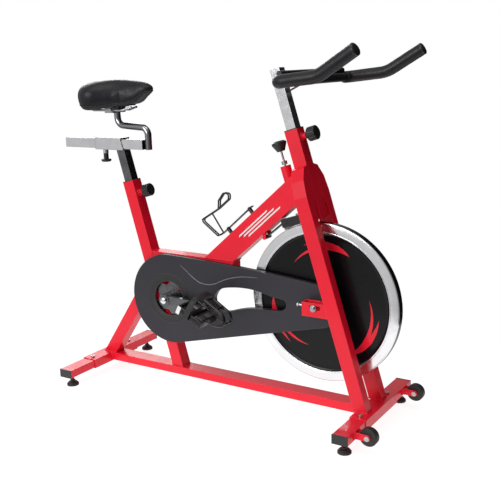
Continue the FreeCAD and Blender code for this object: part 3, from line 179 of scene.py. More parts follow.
def build_floor():
    mesh = bpy.data.meshes.new("floor")
    steps = 96
    turns = [2 * math.pi * k / steps for k in range(steps)]
    rim = [(FLOOR_LONG * math.cos(turn), FLOOR_WIDE * math.sin(turn), FLOOR_DROP) for turn in turns]
    mesh.from_pydata(rim, [], [list(range(steps))])
    floor = bpy.data.objects.new("floor", mesh)
    bpy.context.scene.collection.objects.link(floor)
    material = bpy.data.materials.new("floor_paper")
    material.use_nodes = True
    shader = material.node_tree.nodes["Principled BSDF"]
    shader.inputs["Base Color"].default_value = (0.32, 0.32, 0.32, 1)
    shader.inputs["Roughness"].default_value = 0.9
    shader.inputs["Emission Color"].default_value = (1, 1, 1, 1)
    shader.inputs["Emission Strength"].default_value = 0.86
    mesh.materials.append(material)


# ---------------------------------------------------------------- materials
class Surface:
    """A procedural material: mottled colour, uneven gloss, fine relief, softened edges, and an optional
    edge colour painted along sharp edges as a highlight (as shade where the edge colour is darker).
    """

    def __init__(self, name, colour, roughness, metallic=0.0, coat=0.0, coat_roughness=0.06,
                 specular=0.5, shade=0.85, blotch=18, gloss=0.15, grain=900, relief=0.04,
                 edge=None, soften=1.2, sheen=0.0, cells=False, rings=None):
        self.material = bpy.data.materials.new(name)
        self.material.use_nodes = True
        self.tree = self.material.node_tree
        self.shader = self.tree.nodes["Principled BSDF"]
        coords = self.add("ShaderNodeTexCoord").outputs["Object"]
        cloud = self.texture(coords, blotch, 4)
        colours = self.add("ShaderNodeMix")
        colours.data_type = "RGBA"
        self.link(self.ranged(cloud, 0.35, 0.68, 0, 1), colours.inputs[0])
        colours.inputs[6].default_value = (*[c * shade for c in colour], 1)
        colours.inputs[7].default_value = (*colour, 1)
        shown = colours.outputs[2]
        rounded = self.add("ShaderNodeBevel", samples=6)
        rounded.inputs["Radius"].default_value = soften * MM
        # A lighter edge colour paints a highlight along sharp edges; a darker one paints shade.
        if edge:
            shown = self.paint_edge_light(shown, rounded.outputs[0], edge)
        self.link(shown, self.shader.inputs["Base Color"])
        patches = self.texture(coords, blotch * 2.7, 6)
        self.link(self.ranged(patches, 0.3, 0.7, roughness * (1 - gloss), roughness * (1 + gloss)),
                  self.shader.inputs["Roughness"])
        bump = self.add("ShaderNodeBump")
        bump.inputs["Strength"].default_value = 1.0
        bump.inputs["Distance"].default_value = relief * MM
        height = self.cells(coords, grain) if cells else self.texture(coords, grain, 3)
        if rings is not None:
            height = self.rings(coords, rings)
        self.link(height, bump.inputs["Height"])
        self.link(rounded.outputs[0], bump.inputs["Normal"])
        self.link(bump.outputs[0], self.shader.inputs["Normal"])
        for socket, value in (("Metallic", metallic), ("Coat Weight", coat),
                              ("Coat Roughness", coat_roughness), ("Specular IOR Level", specular),
                              ("Sheen Weight", sheen)):
            self.shader.inputs[socket].default_value = value

    def add(self, kind, **settings):
        node = self.tree.nodes.new(kind)
        for name, value in settings.items():
            setattr(node, name, value)
        return node

    def link(self, source, target):
        self.tree.links.new(source, target)

    def texture(self, coords, scale, detail):
        cloud = self.add("ShaderNodeTexNoise")
        cloud.inputs["Scale"].default_value = scale
        cloud.inputs["Detail"].default_value = detail
        self.link(coords, cloud.inputs["Vector"])
        return cloud.outputs["Fac"]

    def cells(self, coords, scale):
        pebbles = self.add("ShaderNodeTexVoronoi", feature="SMOOTH_F1")
        pebbles.inputs["Scale"].default_value = scale
        self.link(coords, pebbles.inputs["Vector"])
        return pebbles.outputs["Distance"]

    def rings(self, coords, centre):
        """Fine turning marks about a crosswise axis."""
        shift = self.add("ShaderNodeVectorMath", operation="SUBTRACT")
        shift.inputs[1].default_value = centre
        self.link(coords, shift.inputs[0])
        wave = self.add("ShaderNodeTexWave", wave_type="RINGS", rings_direction="Y")
        wave.inputs["Scale"].default_value = 260
        wave.inputs["Distortion"].default_value = 1.5
        self.link(shift.outputs[0], wave.inputs["Vector"])
        return wave.outputs["Fac"]

    def ranged(self, value, low, high, to_low, to_high):
        scaled = self.add("ShaderNodeMapRange")
        for name, number in (("From Min", low), ("From Max", high), ("To Min", to_low),
                             ("To Max", to_high)):
            scaled.inputs[name].default_value = number
        self.link(value, scaled.inputs["Value"])
        return scaled.outputs["Result"]

    def paint_edge_light(self, shown, rounded, edge):
        """Paints the edge colour on sharp edges, where the softened normal leaves the true one: a painted
        highlight where the edge colour is lighter, painted shade where it is darker.
        """
        geometry = self.add("ShaderNodeNewGeometry")
        dot = self.add("ShaderNodeVectorMath", operation="DOT_PRODUCT")
        self.link(rounded, dot.inputs[0])
        self.link(geometry.outputs["Normal"], dot.inputs[1])
        painted_edge_light = self.add("ShaderNodeMix")
        painted_edge_light.data_type = "RGBA"
        self.link(self.ranged(dot.outputs["Value"], 0.995, 0.86, 0, 0.75), painted_edge_light.inputs[0])
        self.link(shown, painted_edge_light.inputs[6])
        painted_edge_light.inputs[7].default_value = (*edge, 1)
        return painted_edge_light.outputs[2]


def build_materials():
    # Edge colours lighter than their body paint highlights along sharp edges; the chrome's dark one
    # paints shade.
    looks = {
        "red_paint": Surface("red_paint", (0.86, 0.006, 0.028), 0.36, coat=0.2,
                             coat_roughness=0.08, specular=0.28,
                             shade=0.93, blotch=9, grain=420, relief=0.05, edge=(0.95, 0.10, 0.10),
                             soften=1.6),
        "black_paint": Surface("black_paint", (0.012, 0.012, 0.015), 0.34, coat=0.2,
                               specular=0.4, shade=0.7,
                               grain=700, relief=0.04, edge=(0.10, 0.10, 0.11)),
        "chrome": Surface("chrome", (0.83, 0.83, 0.85), 0.13, metallic=1.0, shade=0.94, blotch=30,
                          gloss=0.35, grain=1500, relief=0.008, soften=1.0),
        "steel": Surface("steel", (0.52, 0.52, 0.54), 0.28, metallic=1.0, shade=0.8, blotch=60,
                         gloss=0.3, grain=1600, relief=0.02, soften=0.6),
        "cast_wheel": Surface("cast_wheel", (0.004, 0.004, 0.005), 0.24, coat=0.05,
                              coat_roughness=0.04, specular=0.2,
                              shade=0.8, blotch=22, grain=600, relief=0.02, soften=0.8),
        "guard_plastic": Surface("guard_plastic", (0.020, 0.018, 0.026), 0.44, specular=0.42,
                                 shade=0.92, blotch=7,
                                 grain=1300, relief=0.07, cells=True, edge=(0.16, 0.16, 0.17),
                                 soften=1.2),
        "black_plastic": Surface("black_plastic", (0.014, 0.014, 0.015), 0.36, shade=0.8, grain=1500,
                                 relief=0.05, cells=True, edge=(0.07, 0.07, 0.07), soften=0.9),
        "white_plastic": Surface("white_plastic", (0.86, 0.86, 0.84), 0.4, shade=0.95, grain=1500,
                                 relief=0.02),
        "grip_foam": Surface("grip_foam", (0.009, 0.008, 0.011), 0.40, specular=0.36,
                             shade=0.75, blotch=40, grain=750,
                             relief=0.16, cells=True, sheen=0.04, soften=0.5),
        "rubber": Surface("rubber", (0.016, 0.016, 0.016), 0.6, shade=0.7, blotch=40, grain=900,
                          relief=0.1, soften=0.8),
        "saddle_vinyl": Surface("saddle_vinyl", (0.007, 0.006, 0.011), 0.45, coat=0.04, specular=0.32,
                                coat_roughness=0.2, shade=0.75, blotch=24, grain=620, relief=0.16,
                                cells=True, sheen=0.05, soften=0.5),
        "felt": Surface("felt", (0.20, 0.19, 0.18), 0.9, shade=0.6, blotch=90, grain=1100, relief=0.4,
                        sheen=0.5),
    }
    # Chrome with a near-black edge colour: painted shade along the collar's and slider's edges, for
    # shadowed collar mouths and dark outlines.
    looks["chrome_edge_shade"] = Surface("chrome_edge_shade", (0.80, 0.80, 0.82), 0.16, metallic=1.0, shade=0.9,
                                    blotch=30, gloss=0.35, grain=1500, relief=0.01,
                                    edge=(0.03, 0.03, 0.035), soften=2.0)
    looks["pedal_plastic"] = Surface("pedal_plastic", (0.004, 0.004, 0.005), 0.24, specular=0.42,
                                     shade=0.8, grain=1500, relief=0.05, cells=True,
                                     edge=(0.05, 0.05, 0.05), soften=0.9)
    # A darker copy of chrome for the saddle stem: painted shade standing in for the dark reflections on
    # its plating.
    looks["chrome_painted_darker"] = Surface("chrome_painted_darker", (0.34, 0.34, 0.36), 0.12, metallic=1.0, shade=0.9,
                                   blotch=30, gloss=0.35, grain=1500, relief=0.008, soften=1.0)
    # Light grey for the guard's S-ridge: a painted highlight along the crease of the black guard.
    looks["ridge_highlight_grey"] = Surface("ridge_highlight_grey", (0.20, 0.20, 0.22), 0.32, shade=0.9, blotch=12,
                                  grain=1300, relief=0.04, cells=True, soften=0.6)
    looks["dark_steel"] = Surface("dark_steel", (0.17, 0.17, 0.18), 0.3, metallic=1.0,
                                  shade=0.75, blotch=50,
                                  gloss=0.3, relief=0.02, soften=0.6)
    looks["rim_metal"] = Surface("rim_metal", (0.86, 0.86, 0.88), 0.16, metallic=1.0, shade=0.95,
                                 blotch=14, gloss=0.3, relief=0.012, rings=AXLE, soften=0.8)
    return {name: look.material for name, look in looks.items()}


# ---------------------------------------------------------------- mesh building
def piece(name, bm, body, slot, look=None, smooth=True, auto=40):
    """Turns a bmesh into a finished object that rides on a CAD body."""
    bmesh.ops.remove_doubles(bm, verts=bm.verts, dist=1e-6)
    bmesh.ops.recalc_face_normals(bm, faces=bm.faces)
    if smooth:
        for face in bm.faces:
            face.smooth = True
        for edge in bm.edges:
            if len(edge.link_faces) == 2 and edge.calc_face_angle(0) > math.radians(auto):
                edge.smooth = False
    mesh = bpy.data.meshes.new(name)
    bm.to_mesh(mesh)
    bm.free()
    thing = bpy.data.objects.new(name, mesh)
    bpy.context.scene.collection.objects.link(thing)
    mesh.materials.append(LOOKS[look or slot])
    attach(thing, body)
    return thing


def skin(bm, rings, closed=False, caps=True, wrap=True):
    """Joins rings of points with quads."""
    rows = [[bm.verts.new(point) for point in ring] for ring in rings]
    count = len(rows[0])
    last = len(rows) if closed else len(rows) - 1
    for index in range(last):
        row, after = rows[index], rows[(index + 1) % len(rows)]
        for k in range(count if wrap else count - 1):
            j = (k + 1) % count
            bm.faces.new((row[k], row[j], after[j], after[k]))
    if caps and not closed:
        bm.faces.new(rows[0][::-1])
        bm.faces.new(rows[-1])


def lathe(bm, profile, place, steps=128, closed=True):
    """Turns a profile of (radius, height) in mm about a place's local Z."""
    rings = []
    for k in range(steps):
        angle = 2 * math.pi * k / steps
        rings.append([place @ mm(r * math.cos(angle), r * math.sin(angle), h) for r, h in profile])
    skin(bm, rings, closed=True, caps=False, wrap=closed)


def rounded_path(points, radii, step=4.0):
    """Points along straight runs joined by arcs, all in metres; radii and step in mm."""
    path = [points[0]]
    for corner, after, radius in zip(points[1:-1], points[2:], radii):
        here = path[-1]
        back, ahead = (here - corner).normalized(), (after - corner).normalized()
        half = back.angle(ahead) / 2
        reach = radius * MM / math.tan(half)
        centre = corner + (back + ahead).normalized() * (radius * MM / math.sin(half))
        start, end = corner + back * reach, corner + ahead * reach
        turns = max(4, int((math.pi - 2 * half) * radius / step * 1.5))
        first, second = start - centre, end - centre
        sweep_angle = first.angle(second)
        for k in range(turns + 1):
            share = k / turns
            mixed = (first * math.sin((1 - share) * sweep_angle)
                     + second * math.sin(share * sweep_angle))
            path.append(centre + mixed / math.sin(sweep_angle))
    path.append(points[-1])
    return spaced(path, step)


def spaced(path, step):
    """Adds points so that none are further apart than step mm."""
    result = [path[0]]
    for a, b in zip(path, path[1:]):
        parts = max(1, math.ceil((b - a).length / (step * MM)))
        result += [a.lerp(b, k / parts) for k in range(1, parts + 1)]
    return [p for k, p in enumerate(result) if k == 0 or (p - result[k - 1]).length > 1e-7]


def sweep(bm, path, radius, sides=12, closed=False, squash=1.0, hint=None):
    """A round bar along a path; radius is in mm, or a function of the distance in mm."""
    count = len(path)
    tangents = []
    for k in range(count):
        before = path[(k - 1) % count] if closed else path[max(k - 1, 0)]
        after = path[(k + 1) % count] if closed else path[min(k + 1, count - 1)]
        tangents.append((after - before).normalized())
    side = hint or tangents[0].orthogonal()
    rings, travelled = [], 0.0
    for k in range(count):
        if k:
            travelled += (path[k] - path[k - 1]).length / MM
        side = (side - tangents[k] * side.dot(tangents[k])).normalized()
        other = tangents[k].cross(side)
        size = (radius(travelled) if callable(radius) else radius) * MM
        rings.append([path[k] + side * (size * math.cos(a)) + other * (size * squash * math.sin(a))
                      for a in (2 * math.pi * j / sides for j in range(sides))])
    skin(bm, rings, closed=closed, caps=not closed)


def plate(bm, outline, thickness, place):
    """A flat plate from an outline of (x, y) in mm, its thickness along local Z."""
    low = [bm.verts.new(place @ mm(x, y, 0)) for x, y in outline]
    high = [bm.verts.new(place @ mm(x, y, thickness)) for x, y in outline]
    bm.faces.new(low[::-1])
    bm.faces.new(high)
    for k in range(len(outline)):
        j = (k + 1) % len(outline)
        bm.faces.new((low[k], low[j], high[j], high[k]))


def rounded_box(bm, size, place, bevel=1.0, segments=2):
    """A box centred on a place, sizes in mm, with rounded edges."""
    half = [s / 2 for s in size]
    start = len(bm.verts)
    made = bmesh.ops.create_cube(bm, size=2.0)
    bmesh.ops.scale(bm, vec=Vector(half) * MM, verts=made["verts"])
    edges = list({edge for vert in made["verts"] for edge in vert.link_edges})
    bmesh.ops.bevel(bm, geom=edges, offset=bevel * MM, segments=segments, affect="EDGES", profile=0.5)
    bm.verts.ensure_lookup_table()
    bmesh.ops.transform(bm, matrix=place, verts=bm.verts[start:])


# ---------------------------------------------------------------- frame details
def weld_ripple(distance):
    return 2.3 * (1 + 0.16 * math.sin(2 * math.pi * distance / 3.2))


def weld_loop(bm, corners):
    """A rippled weld bead round a closed outline."""
    path = spaced(list(corners) + [corners[0]], 0.8)[:-1]
    sweep(bm, path, weld_ripple, sides=8, closed=True)


def tube_cut(place, deep, across, plane_point, plane_normal):
    """Where a tube's four edges cross a plane."""
    corners = []
    for sx, sy in ((-1, -1), (1, -1), (1, 1), (-1, 1)):
        start = place @ mm(sx * deep / 2, sy * across / 2, 0)
        along = place.to_3x3() @ Vector((0, 0, 1))
        share = (plane_point - start).dot(plane_normal) / along.dot(plane_normal)
        corners.append(start + along * share)
    return corners


def build_welds():
    up = Vector((0, 0, 1))
    bm = bmesh.new()
    beam_top, sleeve_top = 61.0, 61.5
    weld_loop(bm, tube_cut(SEAT, 40, 40, mm(0, 0, beam_top), up))
    weld_loop(bm, tube_cut(STRUT, 40, 40, mm(0, 0, sleeve_top), up))
    seat_x = SEAT.to_3x3() @ Vector((1, 0, 0))
    head_x = HEAD.to_3x3() @ Vector((1, 0, 0))
    weld_loop(bm, tube_cut(STRUT, 40, 40, SEAT @ mm(-20, 0, 300), seat_x))
    level = Matrix.Translation(mm(0, 0, 412)) @ Matrix.Rotation(math.radians(90), 4, "Y")
    weld_loop(bm, tube_cut(level, 40, 40, SEAT @ mm(20, 0, 400), seat_x))
    weld_loop(bm, tube_cut(MAIN, 68, 40, mm(0, 0, 432), up))
    weld_loop(bm, tube_cut(MAIN, 68, 40, HEAD @ mm(-20, 0, 640), head_x))
    for side in (-1, 1):
        leg = Matrix.Translation((0, side * 52 * MM, 0)) @ HEAD
        weld_loop(bm, tube_cut(leg, 40, 30, mm(0, 0, sleeve_top), up))
    forward = Vector((1, 0, 0))
    beam = Matrix.Translation(mm(0, 0, 48.5)) @ Matrix.Rotation(math.radians(90), 4, "Y")
    for x in (-438.6, 482.6):
        weld_loop(bm, tube_cut(beam, 25, 50, mm(x, 0, 0), forward))
    for place, height, radius, turn in ((SEAT, 631, 9, "Y"), (HEAD, 834.5, 9, "Y")):
        quarter = Matrix.Rotation(math.radians(90), 4, turn)
        spot = place @ Matrix.Translation(mm(20, 0, height)) @ quarter
        weld_loop(bm, [spot @ mm(radius * math.cos(a), radius * math.sin(a), 0)
                       for a in (2 * math.pi * k / 24 for k in range(24))])
    piece("weld_beads", bm, "frame", "red_paint", auto=80)


# ---------------------------------------------------------------- flywheel
RIM_PROFILE = [(200.9, -7), (200.9, -12.1), (201.7, -12.8), (204.0, -12.8), (204.5, -12.4),
               (205.2, -12.4), (205.7, -12.8), (226.6, -12.8), (228.6, -12.2), (229.6, -11.0),
               (229.7, -9.6), (229.7, 9.6), (229.6, 11.0), (228.6, 12.2), (226.6, 12.8), (205.7, 12.8),
               (205.2, 12.4), (204.5, 12.4), (204.0, 12.8), (201.7, 12.8), (200.9, 12.1), (200.9, 7)]
DISC_PROFILE = [(21.1, -11.5), (34, -11.5), (36, -10.8), (40, -8.2), (44, -7.3), (60, -7), (186, -7),
                (193, -7.3), (197, -8.2), (199.6, -9.8), (200.8, -10.6), (200.8, 10.6), (199.6, 9.8),
                (197, 8.2), (193, 7.3), (186, 7), (60, 7), (44, 7.3), (40, 8.2), (36, 10.8), (34, 11.5),
                (21.1, 11.5)]
# A black band over the chrome rim's tread: a painted dark reflection on the chrome.
TREAD_PROFILE = [(229.4, -9.5), (229.98, -9.3), (229.98, 9.3), (229.4, 9.5)]
CLAW = [(162, 0), (158, 12), (154, 25), (149, 42), (145, 57), (141, 71), (151, 56), (158, 43),
        (163, 33), (166, 40), (171, 51), (175, 40), (177, 27), (174, 14), (168, 5)]


def build_flywheel():
    place = sideways(AXLE.x / MM, 0, AXLE.z / MM)
    bm = bmesh.new()
    lathe(bm, RIM_PROFILE, place, steps=192)
    rim = piece("flywheel_rim", bm, "flywheel_assembly", "chrome", look="rim_metal", auto=35)
    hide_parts("flywheel")
    bm = bmesh.new()
    # The tread band is a painted dark reflection, not a separate black part.
    lathe(bm, TREAD_PROFILE, place, steps=192)
    piece("flywheel_tread_dark_reflection", bm, "flywheel_assembly", "cast_wheel", auto=35)
    bm = bmesh.new()
    lathe(bm, DISC_PROFILE, place, steps=192)
    piece("flywheel_disc", bm, "flywheel_assembly", "cast_wheel", auto=35)
    for label, face in (("right", 1), ("left", -1)):
        bm = bmesh.new()
        for turn in (-60, 60, 180):
            points = []
            for k, (radius, angle) in enumerate(CLAW):
                after = CLAW[(k + 1) % len(CLAW)]
                for share in (0, 0.25, 0.5, 0.75):
                    r = radius + (after[0] - radius) * share
                    a = math.radians(turn + angle + (after[1] - angle) * share)
                    points.append((r * math.cos(a), r * math.sin(a)))
            plate(bm, points, 0.35 * face, place @ Matrix.Translation(mm(0, 0, 7.0 * face)))
        piece(f"claw_marks_{label}", bm, "flywheel_assembly", "red_paint", smooth=False)


# ---------------------------------------------------------------- chain guard
RIDGE = [(-124, 402), (-102, 387), (-76, 368), (-50, 355), (-21, 353), (5, 359), (42, 376), (78, 387),
         (113, 393), (158, 395)]


def smooth_line(points, parts=8):
    """A smooth curve through points (Catmull-Rom)."""
    ends = [points[0]] + list(points) + [points[-1]]
    result = []
    for k in range(1, len(ends) - 2):
        p0, p1, p2, p3 = ends[k - 1:k + 3]
        for j in range(parts):
            t = j / parts
            result.append(0.5 * ((2 * p1) + (p2 - p0) * t + (2 * p0 - 5 * p1 + 4 * p2 - p3) * t * t
                                 + (3 * p1 - p0 - 3 * p2 + p3) * t ** 3))
    result.append(points[-1])
    return result


def build_guard_details():
    bm = bmesh.new()
    path = smooth_line([mm(x, -35.0, z) for x, z in RIDGE], 10)
    total = sum((b - a).length for a, b in zip(path, path[1:])) / MM

    def taper(distance):
        return 0.2 + 1.3 * math.sin(math.pi * min(1, max(0, distance / total))) ** 0.5

    sweep(bm, path, taper, sides=8)
    # The ridge's lighter grey is a painted crease highlight.
    piece("guard_ridge", bm, "frame", "guard_plastic", look="ridge_highlight_grey")
    for radius, wide in ((57, 1.6), (80.5, 1.0)):
        bm = bmesh.new()
        ring = [mm(CRANK.x / MM + radius * math.cos(a), -35.0, CRANK.z / MM + radius * math.sin(a))
                for a in (2 * math.pi * k / 96 for k in range(96))]
        sweep(bm, ring, wide, sides=8, closed=True)
        piece(f"guard_bead_{int(radius)}", bm, "frame", "guard_plastic")
    bm = bmesh.new()
    lathe(bm, [(58.5, 34.9), (58.5, 35.3), (62, 35.15), (75, 35.15), (78.5, 35.3), (78.5, 34.9)],
          sideways(CRANK.x / MM, 0, CRANK.z / MM), steps=128)
    piece("guard_dish", bm, "frame", "guard_plastic", look="black_plastic")


# ---------------------------------------------------------------- saddle
# Sections of the cushion from its rear: x, half width, lowest, highest, and the groove's depth.
SADDLE = [(-485, 21, 905, 936, 0), (-480, 46, 889, 946, 0), (-470, 67, 880, 952, 1),
          (-455, 84, 873, 957, 2), (-432, 95, 870, 961, 3), (-412, 98, 870, 962, 3),
          (-395, 91, 871, 962, 2.5),
          (-370, 72, 875, 961.5, 2), (-345, 55, 880, 960.5, 1.5), (-320, 43, 884, 960, 1),
          (-295, 35, 888, 959, 0.5), (-275, 31, 895, 957.5, 0), (-258, 28, 908, 955.5, 0),
          (-243, 24, 917, 951, 0), (-232, 18, 925, 945, 0), (-225, 9, 931, 939, 0)]
RECESS = 888                           # the underside's hollow reaches up to here
CLOTH_VOXEL, CLOTH_CAP = 0.0045, 0.006
CLOTH_FRAMES = 20


def saddle_ring(x, half, low, high, groove, inset=1.5):
    """One cross-section: a crowned top, full sides and a hollow underside."""
    wide, top = max(half - inset, 4), high - inset
    waist = low + (top - low) * 0.50
    points = []
    for k in range(17):
        angle = math.pi * k / 16
        y = wide * math.copysign(abs(math.cos(angle)) ** 0.86, math.cos(angle))
        z = waist + (top - waist) * math.sin(angle) ** 0.85
        z -= groove * math.exp(-(y / 16) ** 2) * math.sin(angle)
        points.append(mm(x, y, z))
    rise = max(0.0, min(RECESS, (low + top) / 2) - low)
    under = ((0.98, 0.72), (0.93, 0.42), (0.84, 0.14), (0.74, 0.0), (0.64, 0.5), (0.48, 0.85), (0.25, 1))
    for y, share in [(-y, part) for y, part in under] + [(0, 1)] + list(under[::-1]):
        side = abs(y) >= 0.7
        z = low + ((waist - low) * share if side else rise * share)
        points.append(mm(x, y * wide, z))
    return points


def build_saddle():
    bm = bmesh.new()
    skin(bm, [saddle_ring(*entry) for entry in SADDLE])
    cushion = piece("saddle_cushion_pad", bm, "saddle", "saddle_vinyl", auto=180)
    cushion.parent = None
    inflate(cushion, CLOTH_VOXEL, CLOTH_CAP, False)
    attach(cushion, "saddle")
    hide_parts("saddle_cushion")
    seam_line(cushion)


def inflate(thing, voxel, cap, skip):
    """Swells a soft piece with a short cloth run, then keeps the shape."""
    scene = bpy.context.scene
    view = bpy.context.view_layer
    view.objects.active = thing
    remesh = thing.modifiers.new("remesh", "REMESH")
    remesh.mode = "VOXEL"
    remesh.voxel_size = voxel
    apply_modifier(thing, "remesh")
    before = [v.co.copy() for v in thing.data.vertices]
    if not skip:
        lowest = min(v.co.z for v in thing.data.vertices)
        held = thing.vertex_groups.new(name="held")
        for vert in thing.data.vertices:
            weight = max(0.0, min(1.0, (lowest + 0.020 - vert.co.z) / 0.012))
            if weight > 0:
                held.add([vert.index], weight, "REPLACE")
        cloth = thing.modifiers.new("cloth", "CLOTH")
        cloth.settings.quality = 5
        cloth.settings.mass = 0.4
        cloth.settings.tension_stiffness = 25
        cloth.settings.compression_stiffness = 25
        cloth.settings.bending_stiffness = 1.5
        cloth.settings.use_pressure = True
        cloth.settings.uniform_pressure_force = 4.0
        cloth.settings.vertex_group_mass = "held"
        cloth.settings.effector_weights.gravity = 0
        cloth.collision_settings.use_self_collision = False
        scene.frame_start, scene.frame_end = 1, CLOTH_FRAMES
        cloth.point_cache.frame_start, cloth.point_cache.frame_end = 1, CLOTH_FRAMES
        for step in range(1, CLOTH_FRAMES + 1):
            scene.frame_set(step)
        apply_modifier(thing, "cloth")
        scene.frame_set(1)
        for vert, old in zip(thing.data.vertices, before):
            shift = vert.co - old
            if shift.length > cap:
                vert.co = old + shift * (cap / shift.length)
    for name, kind in (("smooth", "SMOOTH"), ("fine", "SUBSURF")):
        modifier = thing.modifiers.new(name, kind)
        if kind == "SMOOTH":
            modifier.iterations = 4
        else:
            modifier.levels = 1
        apply_modifier(thing, name)
    thing.vertex_groups.clear()
    for polygon in thing.data.polygons:
        polygon.use_smooth = True


def apply_modifier(thing, name):
    view = bpy.context.view_layer
    view.objects.active = thing
    with bpy.context.temp_override(object=thing, active_object=thing, selected_objects=[thing]):
        bpy.ops.object.modifier_apply(modifier=name)


def seam_line(cushion):
    """Stitched piping round the cushion's lower edge."""
    tree = BVHTree.FromPolygons([v.co for v in cushion.data.vertices],
                                [p.vertices[:] for p in cushion.data.polygons])
    right = [(x, -half, low + (high - low) * 0.10) for x, half, low, high, _ in SADDLE[1:-1]]
    left = [(x, half, low + (high - low) * 0.10) for x, half, low, high, _ in SADDLE[-2:0:-1]]
    rough = smooth_line([mm(*p) for p in right + left + right[:1]], 8)[:-1]
    path = []
    for point in rough:
        found, normal, _, _ = tree.find_nearest(point)
        path.append(found + normal * 0.0003)
    bm = bmesh.new()
    sweep(bm, path, 1.3, sides=8, closed=True)
    piece("saddle_piping", bm, "saddle", "saddle_vinyl", look="rubber")
    bm = bmesh.new()
    stitches = spaced(path + [path[0]], 1.0)
    for k in range(0, len(stitches) - 4, 5):
        ends = stitches[k:k + 4]
        raised = []
        for point in ends:
            found, normal, _, _ = tree.find_nearest(point + Vector((0, 0, 0.0035)))
            raised.append(found + normal * 0.0001)
        if all((b - a).length > 1e-5 for a, b in zip(raised, raised[1:])):
            sweep(bm, raised, 0.35, sides=6)
    piece("saddle_stitches", bm, "saddle", "saddle_vinyl", look="rubber")


# ---------------------------------------------------------------- handlebar grips
BARE_BAR, FOAM_WALL = 13.2, 3.6        # radius at the foam's ends, and how much it swells, in mm


def grip_route(side):
    return [mm(549, side * 217.5, 1030), mm(447, side * 209.5, 969), mm(330, side * 209.5, 957),
            mm(330, side * 180, 957)]


def build_grips():
    for label, side in (("right", -1), ("left", 1)):
        path = rounded_path(grip_route(side), [90, 24], 3.0)
        total = sum((b - a).length for a, b in zip(path, path[1:])) / MM

        def swell(distance, total=total):
            start = min(1.0, distance / 5)
            end = min(1.0, (total - distance) / 4)
            rounded_start = math.sqrt(max(0, start * (2 - start)))
            return BARE_BAR + FOAM_WALL * rounded_start * math.sqrt(max(0, end * (2 - end)))

        bm = bmesh.new()
        sweep(bm, path, swell, sides=28)
        for vert in bm.verts:
            wobble = noise.noise(vert.co * 55) * 0.00025
            vert.co += Vector((wobble, wobble, -wobble))
        grip = piece(f"foam_grip_{label}", bm, "handlebar_assembly", "grip_foam")
        if side < 0:
            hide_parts("foam_grips")
        heading = (path[0] - path[1]).normalized()
        turn = heading.to_track_quat("Z", "Y").to_matrix().to_4x4()
        bm = bmesh.new()
        cap = [(0, 3.2), (9, 3.0), (14.3, 2.2), (16.4, 0.6), (17, -1.5), (17, -5), (16.2, -6), (0, -6)]
        lathe(bm, cap, Matrix.Translation(path[0] + heading * 0.0005) @ turn, steps=40, closed=False)
        piece(f"grip_plug_{label}", bm, "handlebar_assembly", "black_plastic")


# ---------------------------------------------------------------- pedals
PEDAL_TIP = math.radians(28)           # how far each pedal hangs nose-down
CRANK_LENGTH, PEDAL_OUT = 0.170, 0.122


def build_pedals():
    for label, side, forward in (("right", -1, 1), ("left", 1, -1)):
        centre = Vector((CRANK.x + forward * CRANK_LENGTH, side * PEDAL_OUT, CRANK.z))
        level = Matrix.Translation(centre)
        tipped = level @ Matrix.Rotation(PEDAL_TIP, 4, "Y")
        body = f"{label}_pedal"

        def box(bm, size, x, y, z, bevel, segments, tipped=tipped):
            rounded_box(bm, size, tipped @ Matrix.Translation(mm(x, y, z)), bevel, segments)

        bm = bmesh.new()
        for y in (-40, 40):
            box(bm, (92, 8, 22), 0, y, 0, 3.0, 3)
        for x in (-42, 42):
            box(bm, (8, 84, 22), x, 0, 0, 2.0, 2)
            for k in range(9):
                for z in (-11.6, 11.6):
                    box(bm, (6, 4, 3), x, -32 + 8 * k, z, 0.8, 1)
        box(bm, (20, 84, 18), 0, 0, 0, 5.0, 3)
        for x in (-23, 23):
            box(bm, (34, 5, 14), x, 0, 0, 1.2, 1)
        platform = piece(f"pedal_body_{label}", bm, body, "black_plastic", look="pedal_plastic")
        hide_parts(f"pedal_{label}")
        bm = bmesh.new()
        profile = [(0, 0), (7, 0), (7, 10), (9.4, 11), (9.4, 17), (7, 18), (7, 24), (0, 24)]
        place = sideways(level.translation.x / MM, side * 50, level.translation.z / MM)
        if side > 0:
            place = place @ Matrix.Rotation(math.radians(180), 4, "X")
        lathe(bm, profile, place, steps=32, closed=False)
        piece(f"pedal_spindle_{label}", bm, body, "steel")
        bm = bmesh.new()
        box(bm, (2, 46, 12), -46.2, 0, 0, 0.6, 1)
        box(bm, (13, 1.2, 26), -39, side * 44.6, -2, 0.5, 1)
        piece(f"pedal_reflector_{label}", bm, body, "white_plastic")
        build_toe_cage(label, tipped, body)


def build_toe_cage(label, tipped, body):
    """A moulded cage over the toe and a woven strap; local to the pedal, in mm."""
    def at(x, y, z):
        return tipped @ mm(x, y, z)

    bm = bmesh.new()
    for y in (-1, 1):
        outer = [at(38, 26 * y, 13.6), at(72, 23.4 * y, 15), at(108, 19.5 * y, 33),
                 at(86, 16.1 * y, 59), at(12, 15.6 * y, 64)]
        sweep(bm, rounded_path(outer, [12, 16, 16], 3.0), 3.0, sides=12, squash=1.5)
    for x, z, half in ((44, 14.5, 27), (100, 36, 19), (60, 62, 16), (18, 64, 17)):
        sweep(bm, [at(x, -half, z), at(x, 0, z + 1.2), at(x, half, z)], 3.0, sides=10)
    piece(f"toe_cage_{label}", bm, body, "black_plastic", look="pedal_plastic")
    bm = bmesh.new()
    corners = [(-50, -6), (-50, 34), (-32, 60), (32, 60), (50, 34), (50, -6), (32, -14), (-32, -14)]
    loop = smooth_line([at(-6, y, z) for y, z in corners + corners[:1]], 8)[:-1]
    across = tipped.to_3x3() @ Vector((1, 0, 0))
    sweep(bm, loop, 9.0, sides=8, closed=True, squash=0.13, hint=across)
    piece(f"toe_strap_{label}", bm, body, "black_plastic", look="rubber")
    bm = bmesh.new()
    rounded_box(bm, (24, 4, 16), tipped @ Matrix.Translation(mm(-6, 50.5, 16)), 1.2, 2)
    piece(f"strap_buckle_{label}", bm, body, "steel")


